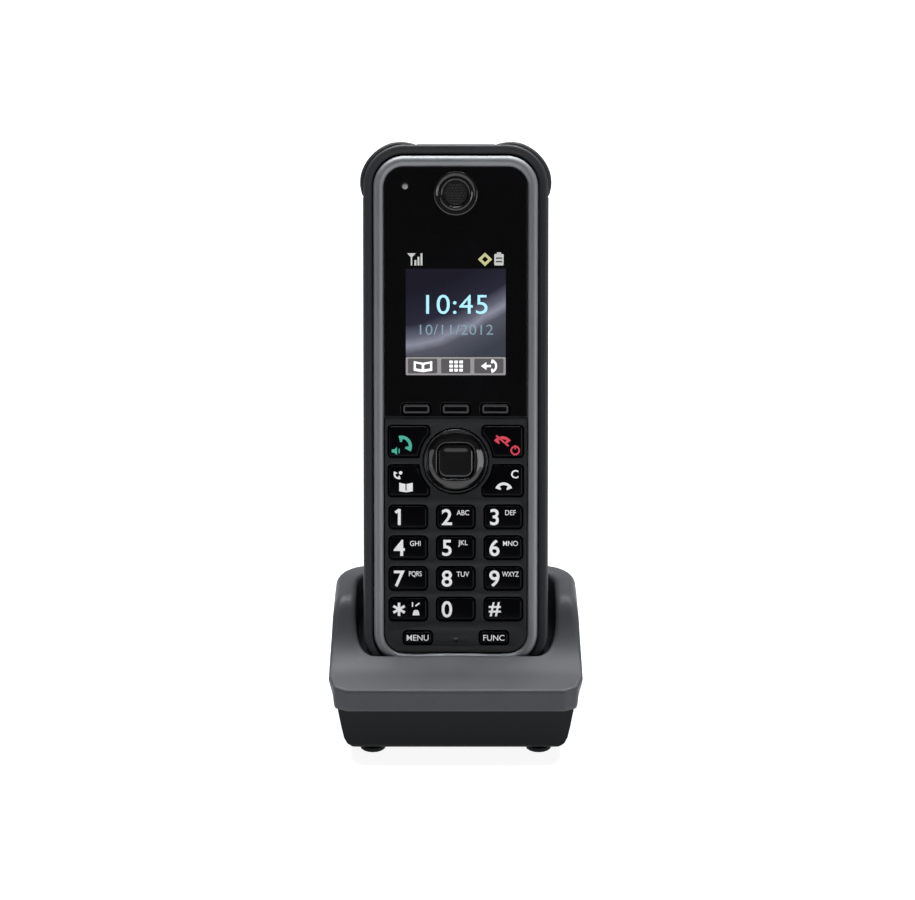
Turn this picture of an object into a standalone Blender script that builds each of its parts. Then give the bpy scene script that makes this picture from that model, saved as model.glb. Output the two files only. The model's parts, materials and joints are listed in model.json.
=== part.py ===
"""Cordless phone standing in its charging base.

The handset leans back in the well of the base. Its pieces are modelled in the frame of the
handset: x to the right, y from the front face to the back, z from the bottom end to the top
end. The empty handset_frame places that frame in the base. Lengths below are in millimetres.
"""

import math

import bmesh
import bpy
from mathutils import Matrix, Vector

MM = 0.001
GAP = 0.3                   # between neighbours that touch on the real phone

# Handset: overall
LEAN = math.radians(16.0)   # the handset leans back by this much
WIDTH = 52.1
LENGTH = 149.5
DEPTH = 25.5
CORNER = 11.7               # corner radius seen from the front
BACK_EDGE = 8.0             # rounding along the back edges
WALL = 2.75                 # rear case with its rubber skin
RIM_FRONT = 0.9             # the rim of the rear case lies this far behind the trim's crest

# Handset: front case, a trim bead round the face
TRIM_WIDTH = 46.0
TRIM_LOW = 3.3
TRIM_HIGH = 146.2
TRIM_CORNER = 8.7
TRIM_SIDE = 2.7             # width of the bead along the sides
TRIM_END = 2.9              # width of the bead at the two ends
TRIM_DEPTH = 8.0

# Handset: face
FACE_WIDTH = 40.0
FACE_LOW = 6.5
FACE_SPLIT = 72.9           # the window lies above this line, the keypad below it
FACE_HIGH = 143.0
FACE_CORNER = 5.5
FACE_FRONT = 0.9
WINDOW_BACK = 2.3
BEZEL_BACK = 2.1
PLATE_FRONT = 2.6
PLATE_BACK = 3.8
RECEIVER_CENTRE = (0.0, 135.7)
LENS_CENTRE = (-14.2, 137.7)
LCD_WIDTH = 32.6
LCD_LOW = 82.3
LCD_HIGH = 122.7

# Handset: keys
KEY_GAP = 0.3               # clearance of a key in its hole
KEY_FLANGE = 0.6            # a key's flange stands out under the face by this much
KEY_FRONT = 0.3
KEY_BACK = 3.2
DIAL_PITCH_X = 13.4
DIAL_ROWS = (44.9, 36.2, 27.5, 18.8)
DIAL_NAMES = (
    ("key_1", "key_2", "key_3"),
    ("key_4", "key_5", "key_6"),
    ("key_7", "key_8", "key_9"),
    ("key_star", "key_0", "key_hash"),
)
DIAL_SIZE = (10.6, 6.4, 1.2)        # width, height, corner radius
SOFT_NAMES = ("soft_key_left", "soft_key_centre", "soft_key_right")
SOFT_PITCH_X = 11.1
SOFT_Z = 75.3
SOFT_SIZE = (8.0, 3.0, 0.9)
LOWER_NAMES = ("menu_key", "func_key")
LOWER_X = 10.75
LOWER_Z = 10.7
LOWER_SIZE = (8.0, 3.6, 0.9)
SIDE_NAMES = {
    "talk_key": (-1, 1),
    "off_key": (1, 1),
    "message_key": (-1, -1),
    "cancel_key": (1, -1),
}
SIDE_OUTER_X = 18.9
SIDE_INNER_X = 7.5
SIDE_NEAR_Z = 1.2           # measured up or down from the centre of the ring
SIDE_FAR_Z = 9.9
SIDE_ARC = 10.6             # inner edge, an arc round the ring
NAV_CENTRE = (0.0, 60.7)
NAV_RADIUS = 9.1
NAV_FRONT = 0.1
NAV_BACK = 2.2
ROCKER_RADIUS = 8.6
ROCKER_FRONT = 2.9
ROCKER_BACK = 3.6
CENTRE_KEY_SIZE = (9.8, 9.3, 2.4)
MIC_CENTRE = (0.0, 10.1)

# Handset: inside
MAT_FRONT = 4.3
MAT_BACK = 5.3
BOARD_FRONT = 5.7
BOARD_BACK = 7.3
BOSS_X = 16.2
BOSS_Z = 131.0
TRAY_FRONT = 13.5           # battery tray in the rear case
TRAY_WIDTH = 40.0
TRAY_LOW = 43.5
TRAY_HIGH = 108.7
TRAY_WALL = 1.2
COVER_WIDTH = 37.0
COVER_LOW = 45.0
COVER_HIGH = 105.0
COVER_FRONT = 23.6
COVER_BACK = 25.4
LOCK_Z = 99.0
LOCK_RADIUS = 4.6
SPEAKER_CENTRE = (0.0, 124.0)
MOTOR_Y = 13.0
MOTOR_Z = 26.0
PAD_X = 8.0
PAD_Y = 11.7

# Bumpers on the top corners
BUMPER_CENTRE = (14.4, 137.7)
BUMPER_OUTER = 12.7
BUMPER_INNER = 10.8
BUMPER_END_X = 11.1
BUMPER_END_Z = 134.9
BUMPER_FRONT = 1.9
BUMPER_BACK = 22.0

# Base
HANDSET_Y = 15.6            # front bottom corner of the handset, behind the front of the base
HANDSET_Z = 18.5
LIP_LOW = 14.6              # parting line between the two housings
LIP_HIGH = 20.8
WING_TOP = 37.6
BASE_DEPTH = 57.5
BASE_SIDE = 35.6
BASE_WALL = 2.0
LOWER_TOP = LIP_LOW - GAP
LOWER_BOTTOM = 1.6
WELL_SIDE = 28.3
WELL_FRONT = -1.3
WELL_BACK = 27.3
WELL_FLOOR = -0.3
WELL_CORNER = 13.0
WELL_BACK_EDGE = 9.6
TUB_WALL = 1.8
FOOT_X = 23.3
FOOT_Y = (7.5, 50.0)
FOOT_RADIUS = 3.6
BASE_SCREW_X = 17.0
BASE_SCREW_Y = 51.0
CONTACT_LENGTH = 7.6

# The origin is under the middle of the whole phone's box. The rearmost point is on the back
# edge at the top, where the rounding has a vertex 30 degrees round from the back face.
EDGE_STEPS = 3
EDGE_REACH = BACK_EDGE * math.cos(math.pi / 2 / EDGE_STEPS - LEAN)
EDGE_CENTRE_Y = (DEPTH - BACK_EDGE) * math.cos(LEAN) + (LENGTH - BACK_EDGE) * math.sin(LEAN)
TOTAL_DEPTH = HANDSET_Y + EDGE_CENTRE_Y + EDGE_REACH
FRONT_Y = -TOTAL_DEPTH / 2


# ---------------------------------------------------------------- scene and materials

def clear_scene():
    for item in list(bpy.data.objects):
        bpy.data.objects.remove(item)


def new_collection(name):
    collection = bpy.data.collections.new(name)
    bpy.context.scene.collection.children.link(collection)
    return collection


clear_scene()
PARTS = new_collection("cordless_phone")
CUTTERS = new_collection("cutters")


def new_frame(name, location, tilt=0.0):
    frame = bpy.data.objects.new(name, None)
    frame.location = Vector(location) * MM
    frame.rotation_euler = (tilt, 0.0, 0.0)
    PARTS.objects.link(frame)
    return frame


BASE = new_frame("base_frame", (0.0, FRONT_Y, 0.0))
HANDSET = new_frame("handset_frame", (0.0, FRONT_Y + HANDSET_Y, HANDSET_Z), -LEAN)


def new_material(name, colour, roughness, metallic=0.0):
    material = bpy.data.materials.new(name)
    material.use_nodes = True
    shader = material.node_tree.nodes["Principled BSDF"]
    shader.inputs["Base Color"].default_value = (*colour, 1.0)
    shader.inputs["Roughness"].default_value = roughness
    shader.inputs["Metallic"].default_value = metallic
    return material


BASE_PLASTIC = new_material("base_plastic", (0.045, 0.047, 0.052), 0.42)
DARK_PLASTIC = new_material("dark_plastic", (0.012, 0.013, 0.015), 0.38)
RUBBER = new_material("rubber", (0.018, 0.019, 0.021), 0.62)
TRIM_PAINT = new_material("trim_paint", (0.11, 0.115, 0.125), 0.34, 0.35)
WINDOW_GLOSS = new_material("window_gloss", (0.004, 0.004, 0.005), 0.06)
KEYPAD_PLASTIC = new_material("keypad_plastic", (0.014, 0.015, 0.017), 0.4)
KEY_PLASTIC = new_material("key_plastic", (0.009, 0.009, 0.011), 0.28)
CHROME_BLACK = new_material("nav_gloss", (0.01, 0.01, 0.012), 0.12)
SILICONE = new_material("silicone", (0.35, 0.36, 0.36), 0.6)
BOARD_GREEN = new_material("circuit_board", (0.015, 0.09, 0.04), 0.45)
LCD_GLASS = new_material("lcd_glass", (0.06, 0.07, 0.09), 0.15)
CELL_WRAP = new_material("battery_wrap", (0.2, 0.22, 0.25), 0.5)
STEEL = new_material("steel", (0.55, 0.55, 0.56), 0.3, 1.0)
GOLD = new_material("gold_plating", (0.75, 0.55, 0.24), 0.25, 1.0)
LENS_PLASTIC = new_material("lens_plastic", (0.5, 0.55, 0.5), 0.2)


# ---------------------------------------------------------------- outlines

def fillet(before, corner, after, radius, segments):
    """Arc of this radius that replaces a corner, as a list of points."""
    corner = Vector(corner)
    one = (Vector(before) - corner).normalized()
    two = (Vector(after) - corner).normalized()
    half = one.angle(two) / 2
    reach = radius / math.tan(half)
    centre = corner + (one + two).normalized() * radius / math.sin(half)
    start = corner + one * reach - centre
    sweep = start.angle_signed(corner + two * reach - centre)
    turned = []
    for step in range(segments + 1):
        spin = Matrix.Rotation(-sweep * step / segments, 2)
        turned.append(tuple(centre + spin @ start))
    return turned


def rounded(corners, segments=3):
    """Closed outline through corners given as (a, b, radius)."""
    points = []
    for index, (a, b, radius) in enumerate(corners):
        if radius <= 0.0:
            points.append((a, b))
            continue
        before = corners[index - 1][:2]
        after = corners[(index + 1) % len(corners)][:2]
        points.extend(fillet(before, (a, b), after, radius, segments))
    return points


def inset(corners, distance):
    """The same counter-clockwise corners, moved inwards by a wall's thickness."""
    moved = []
    for index, (a, b, radius) in enumerate(corners):
        here = Vector((a, b))
        along = (here - Vector(corners[index - 1][:2])).normalized()
        onward = (Vector(corners[(index + 1) % len(corners)][:2]) - here).normalized()
        normal = Vector((-along.y, along.x))
        next_normal = Vector((-onward.y, onward.x))
        middle = (normal + next_normal).normalized()
        here += middle * distance / middle.dot(normal)
        turn = along.cross(onward)
        if radius > 0.0:
            radius = max(radius - math.copysign(distance, turn), 0.0)
        moved.append((here.x, here.y, radius))
    return moved


def rectangle(width, height, radius, centre=(0.0, 0.0), segments=3):
    a, b = centre
    right, top = width / 2, height / 2
    corners = [
        (a - right, b - top, radius),
        (a + right, b - top, radius),
        (a + right, b + top, radius),
        (a - right, b + top, radius),
    ]
    return rounded(corners, segments)


def circle(radius, centre=(0.0, 0.0), segments=24):
    steps = [math.tau * step / segments for step in range(segments)]
    return [(centre[0] + radius * math.cos(t), centre[1] + radius * math.sin(t)) for t in steps]


def mirrored(half):
    """Right half of an outline, from the bottom up, with its mirror image as the left half."""
    return half + [(-a, b, radius) for a, b, radius in reversed(half)]


# ---------------------------------------------------------------- solids

def add_object(name, mesh, material, frame):
    item = bpy.data.objects.new(name, mesh)
    item.parent = frame
    if material is None:
        CUTTERS.objects.link(item)
        item.hide_render = True
        item.display_type = 'WIRE'
        return item
    PARTS.objects.link(item)
    mesh.materials.append(material)
    return item


def finish_mesh(shape, name):
    """Mesh in metres from a bmesh in millimetres."""
    bmesh.ops.recalc_face_normals(shape, faces=shape.faces)
    bmesh.ops.scale(shape, vec=(MM, MM, MM), verts=shape.verts)
    mesh = bpy.data.meshes.new(name)
    shape.to_mesh(mesh)
    shape.free()
    mesh.shade_smooth()
    mesh.set_sharp_from_angle(angle=math.radians(32))
    return mesh


TURN_TO = {
    'Z': Matrix.Identity(4),
    'Y': Matrix.Rotation(math.pi / 2, 4, 'X'),
    'X': Matrix(((0, 0, 1, 0), (1, 0, 0, 0), (0, 1, 0, 0), (0, 0, 0, 1))),
}
AXIS_SIGN = {'X': 1, 'Y': -1, 'Z': 1}


def prism(name, outlines, axis, start, end, material, frame, edge=0.0):
    """Outline extruded along an axis; further outlines are holes, edge rounds the rims."""
    curve = bpy.data.curves.new(name, 'CURVE')
    curve.dimensions = '2D'
    curve.fill_mode = 'BOTH'
    curve.extrude = (end - start) / 2 - edge
    curve.bevel_depth = edge
    curve.bevel_resolution = 1
    curve.offset = -edge
    for outline in outlines:
        spline = curve.splines.new('POLY')
        spline.points.add(len(outline) - 1)
        for point, (a, b) in zip(spline.points, outline):
            point.co = (a, b, 0.0, 1.0)
        spline.use_cyclic_u = True
    guide = bpy.data.objects.new(name + "_outline", curve)
    CUTTERS.objects.link(guide)
    depsgraph = bpy.context.evaluated_depsgraph_get()
    filled = bpy.data.meshes.new_from_object(guide.evaluated_get(depsgraph))
    bpy.data.objects.remove(guide)
    shape = bmesh.new()
    shape.from_mesh(filled)
    bmesh.ops.remove_doubles(shape, verts=shape.verts, dist=0.001)
    middle = Vector((0.0, 0.0, AXIS_SIGN[axis] * (start + end) / 2))
    bmesh.ops.transform(shape, matrix=TURN_TO[axis] @ Matrix.Translation(middle), verts=shape.verts)
    bpy.data.meshes.remove(filled)
    bpy.data.curves.remove(curve)
    return add_object(name, finish_mesh(shape, name), material, frame)


def round_edges(shape, edges, radius, segments):
    if radius > 0.0:
        bmesh.ops.bevel(shape, geom=edges, offset=radius, offset_type='OFFSET',
                        segments=segments, profile=0.5, affect='EDGES')


def rim_edges(shape, depth):
    """Edges that lie in the plane y = depth."""
    return [e for e in shape.edges if all(abs(v.co.y - depth) < 0.001 for v in e.verts)]


def rounded_box(name, low, high, corner, front_edge, back_edge, material, frame, segments=4):
    """Box with rounded corners in the front view, and rounded front and back rims."""
    low, high = Vector(low), Vector(high)
    size = high - low
    shape = bmesh.new()
    placed = Matrix.Translation((low + high) / 2) @ Matrix.Diagonal((*size, 1.0))
    bmesh.ops.create_cube(shape, size=1.0, matrix=placed)
    upright = [e for e in shape.edges if abs(e.verts[0].co.y - e.verts[1].co.y) > size.y / 2]
    round_edges(shape, upright, corner, segments)
    round_edges(shape, rim_edges(shape, low.y), front_edge, 2)
    round_edges(shape, rim_edges(shape, high.y), back_edge, EDGE_STEPS)
    return add_object(name, finish_mesh(shape, name), material, frame)


def box(name, low, high, frame=HANDSET):
    """Plain rectangular cutter."""
    return rounded_box(name, low, high, 0.0, 0.0, 0.0, None, frame)


def turned(name, profile, location, axis, material, frame, steps=24):
    """Profile of (radius, height) points, from the top down, turned about an axis."""
    mesh = bpy.data.meshes.new(name)
    points = [(0.0, profile[0][1])] + list(profile) + [(0.0, profile[-1][1])]
    shape = bmesh.new()
    verts = [shape.verts.new((radius * MM, 0.0, height * MM)) for radius, height in points]
    for upper, lower in zip(verts, verts[1:]):
        shape.edges.new((upper, lower))
    shape.to_mesh(mesh)
    shape.free()
    item = add_object(name, mesh, material, frame)
    item.location = Vector(location) * MM
    item.rotation_euler = {'Z': (0, 0, 0), 'Y': (-math.pi / 2, 0, 0), 'X': (0, math.pi / 2, 0)}[axis]
    screw = item.modifiers.new("Turn", 'SCREW')
    screw.steps = steps
    screw.render_steps = steps
    screw.use_merge_vertices = True
    screw.merge_threshold = 0.00001
    screw.use_smooth_shade = True
    return item


def cylinder(name, radius, start, end, location, axis, material, frame, steps=20):
    """Plain round bar along an axis, from start to end."""
    return turned(name, [(radius, end), (radius, start)], location, axis, material, frame, steps)


def combine(target, tool, operation='DIFFERENCE'):
    modifier = target.modifiers.new(tool.name, 'BOOLEAN')
    modifier.operation = operation
    modifier.solver = 'EXACT'
    modifier.object = tool


def move_origin(item, point):
    """Put the object's origin on a point of its frame, here on the axis of its joint."""
    shift = Vector(point) * MM
    item.data.transform(Matrix.Translation(-shift))
    item.location = shift


# ---------------------------------------------------------------- key outlines

def key_places():
    """Every key with straight sides: its name, its size and its centre."""
    places = {}
    for names, z in zip(DIAL_NAMES, DIAL_ROWS):
        for column, name in enumerate(names):
            places[name] = (DIAL_SIZE, ((column - 1) * DIAL_PITCH_X, z))
    for column, name in enumerate(LOWER_NAMES):
        places[name] = (LOWER_SIZE, ((2 * column - 1) * LOWER_X, LOWER_Z))
    for column, name in enumerate(SOFT_NAMES):
        places[name] = (SOFT_SIZE, ((column - 1) * SOFT_PITCH_X, SOFT_Z))
    return places


KEY_PLACES = key_places()


def straight_key(name, grow):
    (width, height, radius), centre = KEY_PLACES[name]
    return rectangle(width + 2 * grow, height + 2 * grow, radius + grow, centre, 2)


def side_key(name, grow):
    """Key beside the ring: straight outer sides, and an arc that follows the ring."""
    side, level = SIDE_NAMES[name]
    near, far = SIDE_NEAR_Z - grow, SIDE_FAR_Z + grow
    inner, arc = SIDE_INNER_X - grow, SIDE_ARC - grow
    first = math.asin(near / arc)
    last = math.acos(inner / arc)
    steps = [first + (last - first) * step / 4 for step in range(5)]
    points = [(SIDE_OUTER_X + grow, near), (SIDE_OUTER_X + grow, far), (inner, far)]
    points += [(arc * math.cos(t), arc * math.sin(t)) for t in reversed(steps)]
    return [(side * x, NAV_CENTRE[1] + level * z) for x, z in points]


def key_outline(name, grow=0.0):
    if name in SIDE_NAMES:
        return side_key(name, grow)
    return straight_key(name, grow)


# ---------------------------------------------------------------- handset: shells

def face_outline(low, high, low_corner, high_corner):
    side = FACE_WIDTH / 2
    return rounded([(-side, low, low_corner), (side, low, low_corner),
                    (side, high, high_corner), (-side, high, high_corner)], 4)


def trim_outline(reduce_side=0.0, reduce_end=0.0):
    middle = (TRIM_LOW + TRIM_HIGH) / 2
    height = TRIM_HIGH - TRIM_LOW - 2 * reduce_end
    width = TRIM_WIDTH - 2 * reduce_side
    return rectangle(width, height, TRIM_CORNER - reduce_end, (0.0, middle), 4)


def make_front_case():
    outlines = [trim_outline(), trim_outline(TRIM_SIDE, TRIM_END)]
    case = prism("front_case", outlines, 'Y', 0.0, TRIM_DEPTH, TRIM_PAINT, HANDSET, edge=1.1)
    plate_width = TRIM_WIDTH - TRIM_SIDE
    plate_high = TRIM_HIGH - TRIM_END / 2
    plate = rounded([(-plate_width / 2, FACE_SPLIT - GAP, 0.0), (plate_width / 2, FACE_SPLIT - GAP, 0.0),
                     (plate_width / 2, plate_high, 7.5), (-plate_width / 2, plate_high, 7.5)], 3)
    screen = rectangle(LCD_WIDTH + 0.8, LCD_HIGH - LCD_LOW + 0.8, 0.6, (0.0, (LCD_LOW + LCD_HIGH) / 2), 2)
    holes = [screen, circle(6.8, RECEIVER_CENTRE, 20), circle(1.15, LENS_CENTRE, 10)]
    holes += [key_outline(name, KEY_FLANGE + KEY_GAP) for name in SOFT_NAMES]
    web = prism("front_case_plate", [plate] + holes, 'Y', PLATE_FRONT, PLATE_BACK, None, HANDSET)
    places = [(side * BOSS_X, 0.0, BOSS_Z) for side in (-1, 1)]
    for place in places:
        combine(case, cylinder("front_boss", 2.8, 3.2, 11.6, place, 'Y', None, HANDSET), 'UNION')
    combine(case, web, 'UNION')
    for place in places:
        combine(case, cylinder("front_bore", 1.6, 8.4, 12.0, place, 'Y', None, HANDSET, 12))
    groove_lines = [trim_outline(-1.0, -1.0), trim_outline(1.3, 1.3)]
    groove = prism("seal_groove", groove_lines, 'Y', 5.2, 6.6, None, HANDSET)
    combine(case, groove)


def make_case_seal():
    outlines = [trim_outline(0.05, 0.05), trim_outline(1.0, 1.0)]
    prism("case_seal", outlines, 'Y', 5.5, 6.3, SILICONE, HANDSET)


def bumper_outline(side, inner, outer, tail=0.0):
    """Quarter ring round a top corner, with a short straight tail at each end."""
    x0, z0 = BUMPER_CENTRE
    end_x, end_z = BUMPER_END_X - tail, BUMPER_END_Z - tail
    steps = [math.pi / 2 * step / 6 for step in range(7)]
    points = [(x0 + outer, end_z)]
    points += [(x0 + outer * math.cos(t), z0 + outer * math.sin(t)) for t in steps]
    points += [(end_x, z0 + outer), (end_x, z0 + inner)]
    points += [(x0 + inner * math.cos(t), z0 + inner * math.sin(t)) for t in reversed(steps)]
    points += [(x0 + inner, end_z)]
    return [(side * x, z) for x, z in points]


def make_bumpers():
    for name, side in (("bumper_left", -1), ("bumper_right", 1)):
        outline = bumper_outline(side, BUMPER_INNER, BUMPER_OUTER)
        prism(name, [outline], 'Y', BUMPER_FRONT, BUMPER_BACK, RUBBER, HANDSET, edge=0.5)


def bumper_recess(side):
    grown = bumper_outline(side, BUMPER_INNER - GAP, BUMPER_OUTER + 2.0, GAP)
    return prism("bumper_recess", [grown], 'Y', BUMPER_FRONT - GAP, BUMPER_BACK + GAP, None, HANDSET)


def make_rear_case():
    side = WIDTH / 2
    case = rounded_box("rear_case", (-side, RIM_FRONT, 0.0), (side, DEPTH, LENGTH),
                       CORNER, 1.6, BACK_EDGE, RUBBER, HANDSET, 6)
    inner = side - WALL
    hollow = rounded_box("rear_hollow", (-inner, -4.0, WALL + 0.2), (inner, DEPTH - WALL, LENGTH - WALL - 0.2),
                         CORNER - WALL, 0.0, BACK_EDGE - WALL, None, HANDSET, 6)
    combine(case, hollow)
    half = TRAY_WIDTH / 2
    tray = box("tray_block", (-half, TRAY_FRONT, TRAY_LOW), (half, DEPTH - 2.0, TRAY_HIGH))
    combine(case, tray, 'UNION')
    half -= TRAY_WALL
    combine(case, box("tray_hollow", (-half, TRAY_FRONT + TRAY_WALL, TRAY_LOW + TRAY_WALL),
                      (half, 23.3, TRAY_HIGH - 1.1)))
    combine(case, box("tray_mouth", (-half, 20.0, TRAY_LOW + TRAY_WALL), (half, DEPTH + 2.0, COVER_HIGH + GAP)))
    for hand in (-1, 1):
        place = (hand * BOSS_X, 0.0, BOSS_Z)
        combine(case, cylinder("rear_boss", 4.2, 12.0, 24.0, place, 'Y', None, HANDSET), 'UNION')
        combine(case, cylinder("rear_bore", 1.6, 11.0, 20.0, place, 'Y', None, HANDSET, 12))
        combine(case, cylinder("rear_counterbore", 3.0, 19.0, 28.0, place, 'Y', None, HANDSET, 16))
        combine(case, box("pad_slot", (hand * PAD_X - 2.8, PAD_Y - 1.8, -1.0),
                          (hand * PAD_X + 2.8, PAD_Y + 1.8, 4.0)))
        combine(case, bumper_recess(hand))
    for row in range(5):
        z = SPEAKER_CENTRE[1] + (row - 2) * 3.0
        reach = 7.0 - abs(row - 2) * 1.2
        combine(case, box("grille_slot", (-reach, 20.0, z - 0.6), (reach, DEPTH + 2.0, z + 0.6)))


# ---------------------------------------------------------------- handset: face

def make_display_window():
    outline = face_outline(FACE_SPLIT + 0.15, FACE_HIGH, 0.6, FACE_CORNER)
    holes = [circle(5.5, RECEIVER_CENTRE, 20), circle(1.15, LENS_CENTRE, 10)]
    holes += [key_outline(name, KEY_GAP) for name in SOFT_NAMES]
    prism("display_window", [outline] + holes, 'Y', FACE_FRONT, WINDOW_BACK, WINDOW_GLOSS, HANDSET)


def make_keypad_bezel():
    outline = face_outline(FACE_LOW, FACE_SPLIT - 0.15, FACE_CORNER, 0.6)
    holes = [key_outline(name, KEY_GAP) for name in KEY_PLACES if name not in SOFT_NAMES]
    holes += [key_outline(name, KEY_GAP) for name in SIDE_NAMES]
    holes += [circle(NAV_RADIUS + KEY_GAP, NAV_CENTRE, 32), circle(0.6, MIC_CENTRE, 8)]
    prism("keypad_bezel", [outline] + holes, 'Y', FACE_FRONT, BEZEL_BACK, KEYPAD_PLASTIC, HANDSET)


def make_receiver():
    x, z = RECEIVER_CENTRE
    ring = [(4.4, 2.4), (5.2, 2.4), (5.2, 0.6), (6.2, 0.6), (6.2, 0.35), (5.7, 0.1), (5.1, 0.1), (4.6, 0.5)]
    turned("receiver_ring", ring, (x, 0.0, z), 'Y', CHROME_BLACK, HANDSET, 20)
    capsule = [(6.0, 5.2), (6.4, 4.9), (6.4, 3.1), (6.0, 2.7)]
    turned("receiver", capsule, (x, 0.0, z), 'Y', STEEL, HANDSET, 16)


def make_indicator_lens():
    x, z = LENS_CENTRE
    turned("indicator_lens", [(0.85, 4.6), (0.85, 0.9), (0.55, 0.6)], (x, 0.0, z), 'Y', LENS_PLASTIC,
           HANDSET, 12)


# ---------------------------------------------------------------- handset: keys

def make_key(name, front, flange_front):
    cap = prism(name, [key_outline(name)], 'Y', front, flange_front + 0.3, KEY_PLASTIC, HANDSET, edge=0.25)
    flange = prism(name + "_flange", [key_outline(name, KEY_FLANGE)], 'Y', flange_front, KEY_BACK,
                   None, HANDSET)
    combine(cap, flange, 'UNION')


def make_keys():
    for name in list(KEY_PLACES) + list(SIDE_NAMES):
        if name in SOFT_NAMES:
            make_key(name, KEY_FRONT + 0.3, WINDOW_BACK + GAP)
        else:
            make_key(name, KEY_FRONT, BEZEL_BACK + GAP)


def make_navigator():
    width, height, radius = CENTRE_KEY_SIZE
    hole = rectangle(width + 2 * KEY_GAP, height + 2 * KEY_GAP, radius + KEY_GAP, NAV_CENTRE, 3)
    ring = prism("nav_ring", [circle(NAV_RADIUS, NAV_CENTRE, 32), hole], 'Y', NAV_FRONT, NAV_BACK,
                 CHROME_BLACK, HANDSET, edge=0.4)
    move_origin(ring, (0.0, (NAV_BACK + ROCKER_FRONT) / 2, NAV_CENTRE[1]))
    rocker = prism("nav_rocker", [circle(ROCKER_RADIUS, NAV_CENTRE, 24), hole], 'Y', ROCKER_FRONT,
                   ROCKER_BACK, SILICONE, HANDSET)
    move_origin(rocker, (0.0, (ROCKER_FRONT + ROCKER_BACK) / 2, NAV_CENTRE[1]))
    prism("centre_key", [rectangle(width, height, radius, NAV_CENTRE, 3)], 'Y', KEY_FRONT, KEY_BACK - 0.1,
          KEY_PLASTIC, HANDSET, edge=0.4)


# ---------------------------------------------------------------- handset: inside

def make_boards():
    mat = rounded([(-19.3, 7.2, 4.0), (19.3, 7.2, 4.0), (19.3, 79.5, 1.0), (-19.3, 79.5, 1.0)], 3)
    prism("key_mat", [mat], 'Y', MAT_FRONT, MAT_BACK, SILICONE, HANDSET)
    board = rounded([(-19.9, 6.8, 5.0), (19.9, 6.8, 5.0), (19.9, 142.6, 5.0), (-19.9, 142.6, 5.0)], 3)
    holes = [circle(3.2, (side * BOSS_X, BOSS_Z), 16) for side in (-1, 1)]
    prism("main_board", [board] + holes, 'Y', BOARD_FRONT, BOARD_BACK, BOARD_GREEN, HANDSET)


def make_inner_parts():
    half = LCD_WIDTH / 2
    rounded_box("lcd_module", (-half, 2.7, LCD_LOW), (half, 5.3, LCD_HIGH), 0.8, 0.0, 0.0,
                LCD_GLASS, HANDSET, 2)
    x, z = SPEAKER_CENTRE
    speaker = [(7.0, 22.5), (9.0, 21.8), (9.0, 20.4), (6.2, 18.2)]
    turned("loudspeaker", speaker, (x, 0.0, z), 'Y', STEEL, HANDSET, 20)
    x, z = MIC_CENTRE
    turned("microphone", [(2.9, 3.9), (2.9, 2.4)], (x, 0.0, z), 'Y', STEEL, HANDSET, 16)
    rounded_box("battery_pack", (-17.5, 15.1, 49.0), (17.5, 22.1, 101.0), 1.5, 0.6, 0.6,
                CELL_WRAP, HANDSET, 2)
    cylinder("vibration_motor", 2.3, -5.5, 5.0, (0.0, MOTOR_Y, MOTOR_Z), 'X', STEEL, HANDSET, 16)
    for name, side in (("charge_pad_left", -1), ("charge_pad_right", 1)):
        rounded_box(name, (side * PAD_X - 2.5, PAD_Y - 1.5, 0.25), (side * PAD_X + 2.5, PAD_Y + 1.5, 2.4),
                    0.0, 0.0, 0.0, GOLD, HANDSET)


def make_vibration_weight():
    """Half disc on the motor's shaft, heavy on one side of the axis, and hanging straight down."""
    hub = [(0.8, LEAN + math.pi * step / 4) for step in range(5)]
    rim = [(2.6, LEAN + math.pi + math.pi * step / 10) for step in range(11)]
    outline = [(MOTOR_Y + r * math.cos(t), MOTOR_Z + r * math.sin(t)) for r, t in hub + rim]
    weight = prism("vibration_weight", [outline], 'X', 5.3, 8.6, STEEL, HANDSET)
    move_origin(weight, (0.0, MOTOR_Y, MOTOR_Z))


def screw_profile(length):
    """Pan head with a plain shank, head down, measured along the screw from under the head."""
    return [(0.8, length), (1.2, length - 0.5), (1.2, 0.0), (2.6, 0.0), (2.6, -1.2), (1.9, -1.9)]


def make_case_screws():
    for name, side in (("case_screw_left", -1), ("case_screw_right", 1)):
        profile = [(radius, 19.3 - height) for radius, height in reversed(screw_profile(10.2))]
        turned(name, profile, (side * BOSS_X, 0.0, BOSS_Z), 'Y', STEEL, HANDSET, 10)


def make_battery_cover():
    middle = (COVER_LOW + COVER_HIGH) / 2
    outline = rectangle(COVER_WIDTH, COVER_HIGH - COVER_LOW, 0.6, (0.0, middle), 2)
    hole = circle(LOCK_RADIUS + GAP, (0.0, LOCK_Z), 24)
    cover = prism("battery_cover", [outline, hole], 'Y', COVER_FRONT, COVER_BACK, RUBBER, HANDSET, edge=0.2)
    move_origin(cover, (0.0, COVER_FRONT, middle))


def make_cover_lock():
    """Quarter-turn lock: a disc with a coin slot, and a tongue that a quarter turn moves under the case."""
    lock = cylinder("cover_lock", LOCK_RADIUS, 22.45, 25.2, (0.0, 0.0, LOCK_Z), 'Y', DARK_PLASTIC,
                    HANDSET, 24)
    tongue = prism("lock_tongue", [rectangle(9.0, 6.0, 1.0, (-3.4, LOCK_Z), 2)], 'Y', 22.45, 23.0,
                   None, HANDSET)
    combine(lock, tongue, 'UNION')
    combine(lock, box("coin_slot", (-0.7, 24.2, LOCK_Z - 3.4), (0.7, 26.0, LOCK_Z + 3.4)))


# ---------------------------------------------------------------- base

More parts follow.
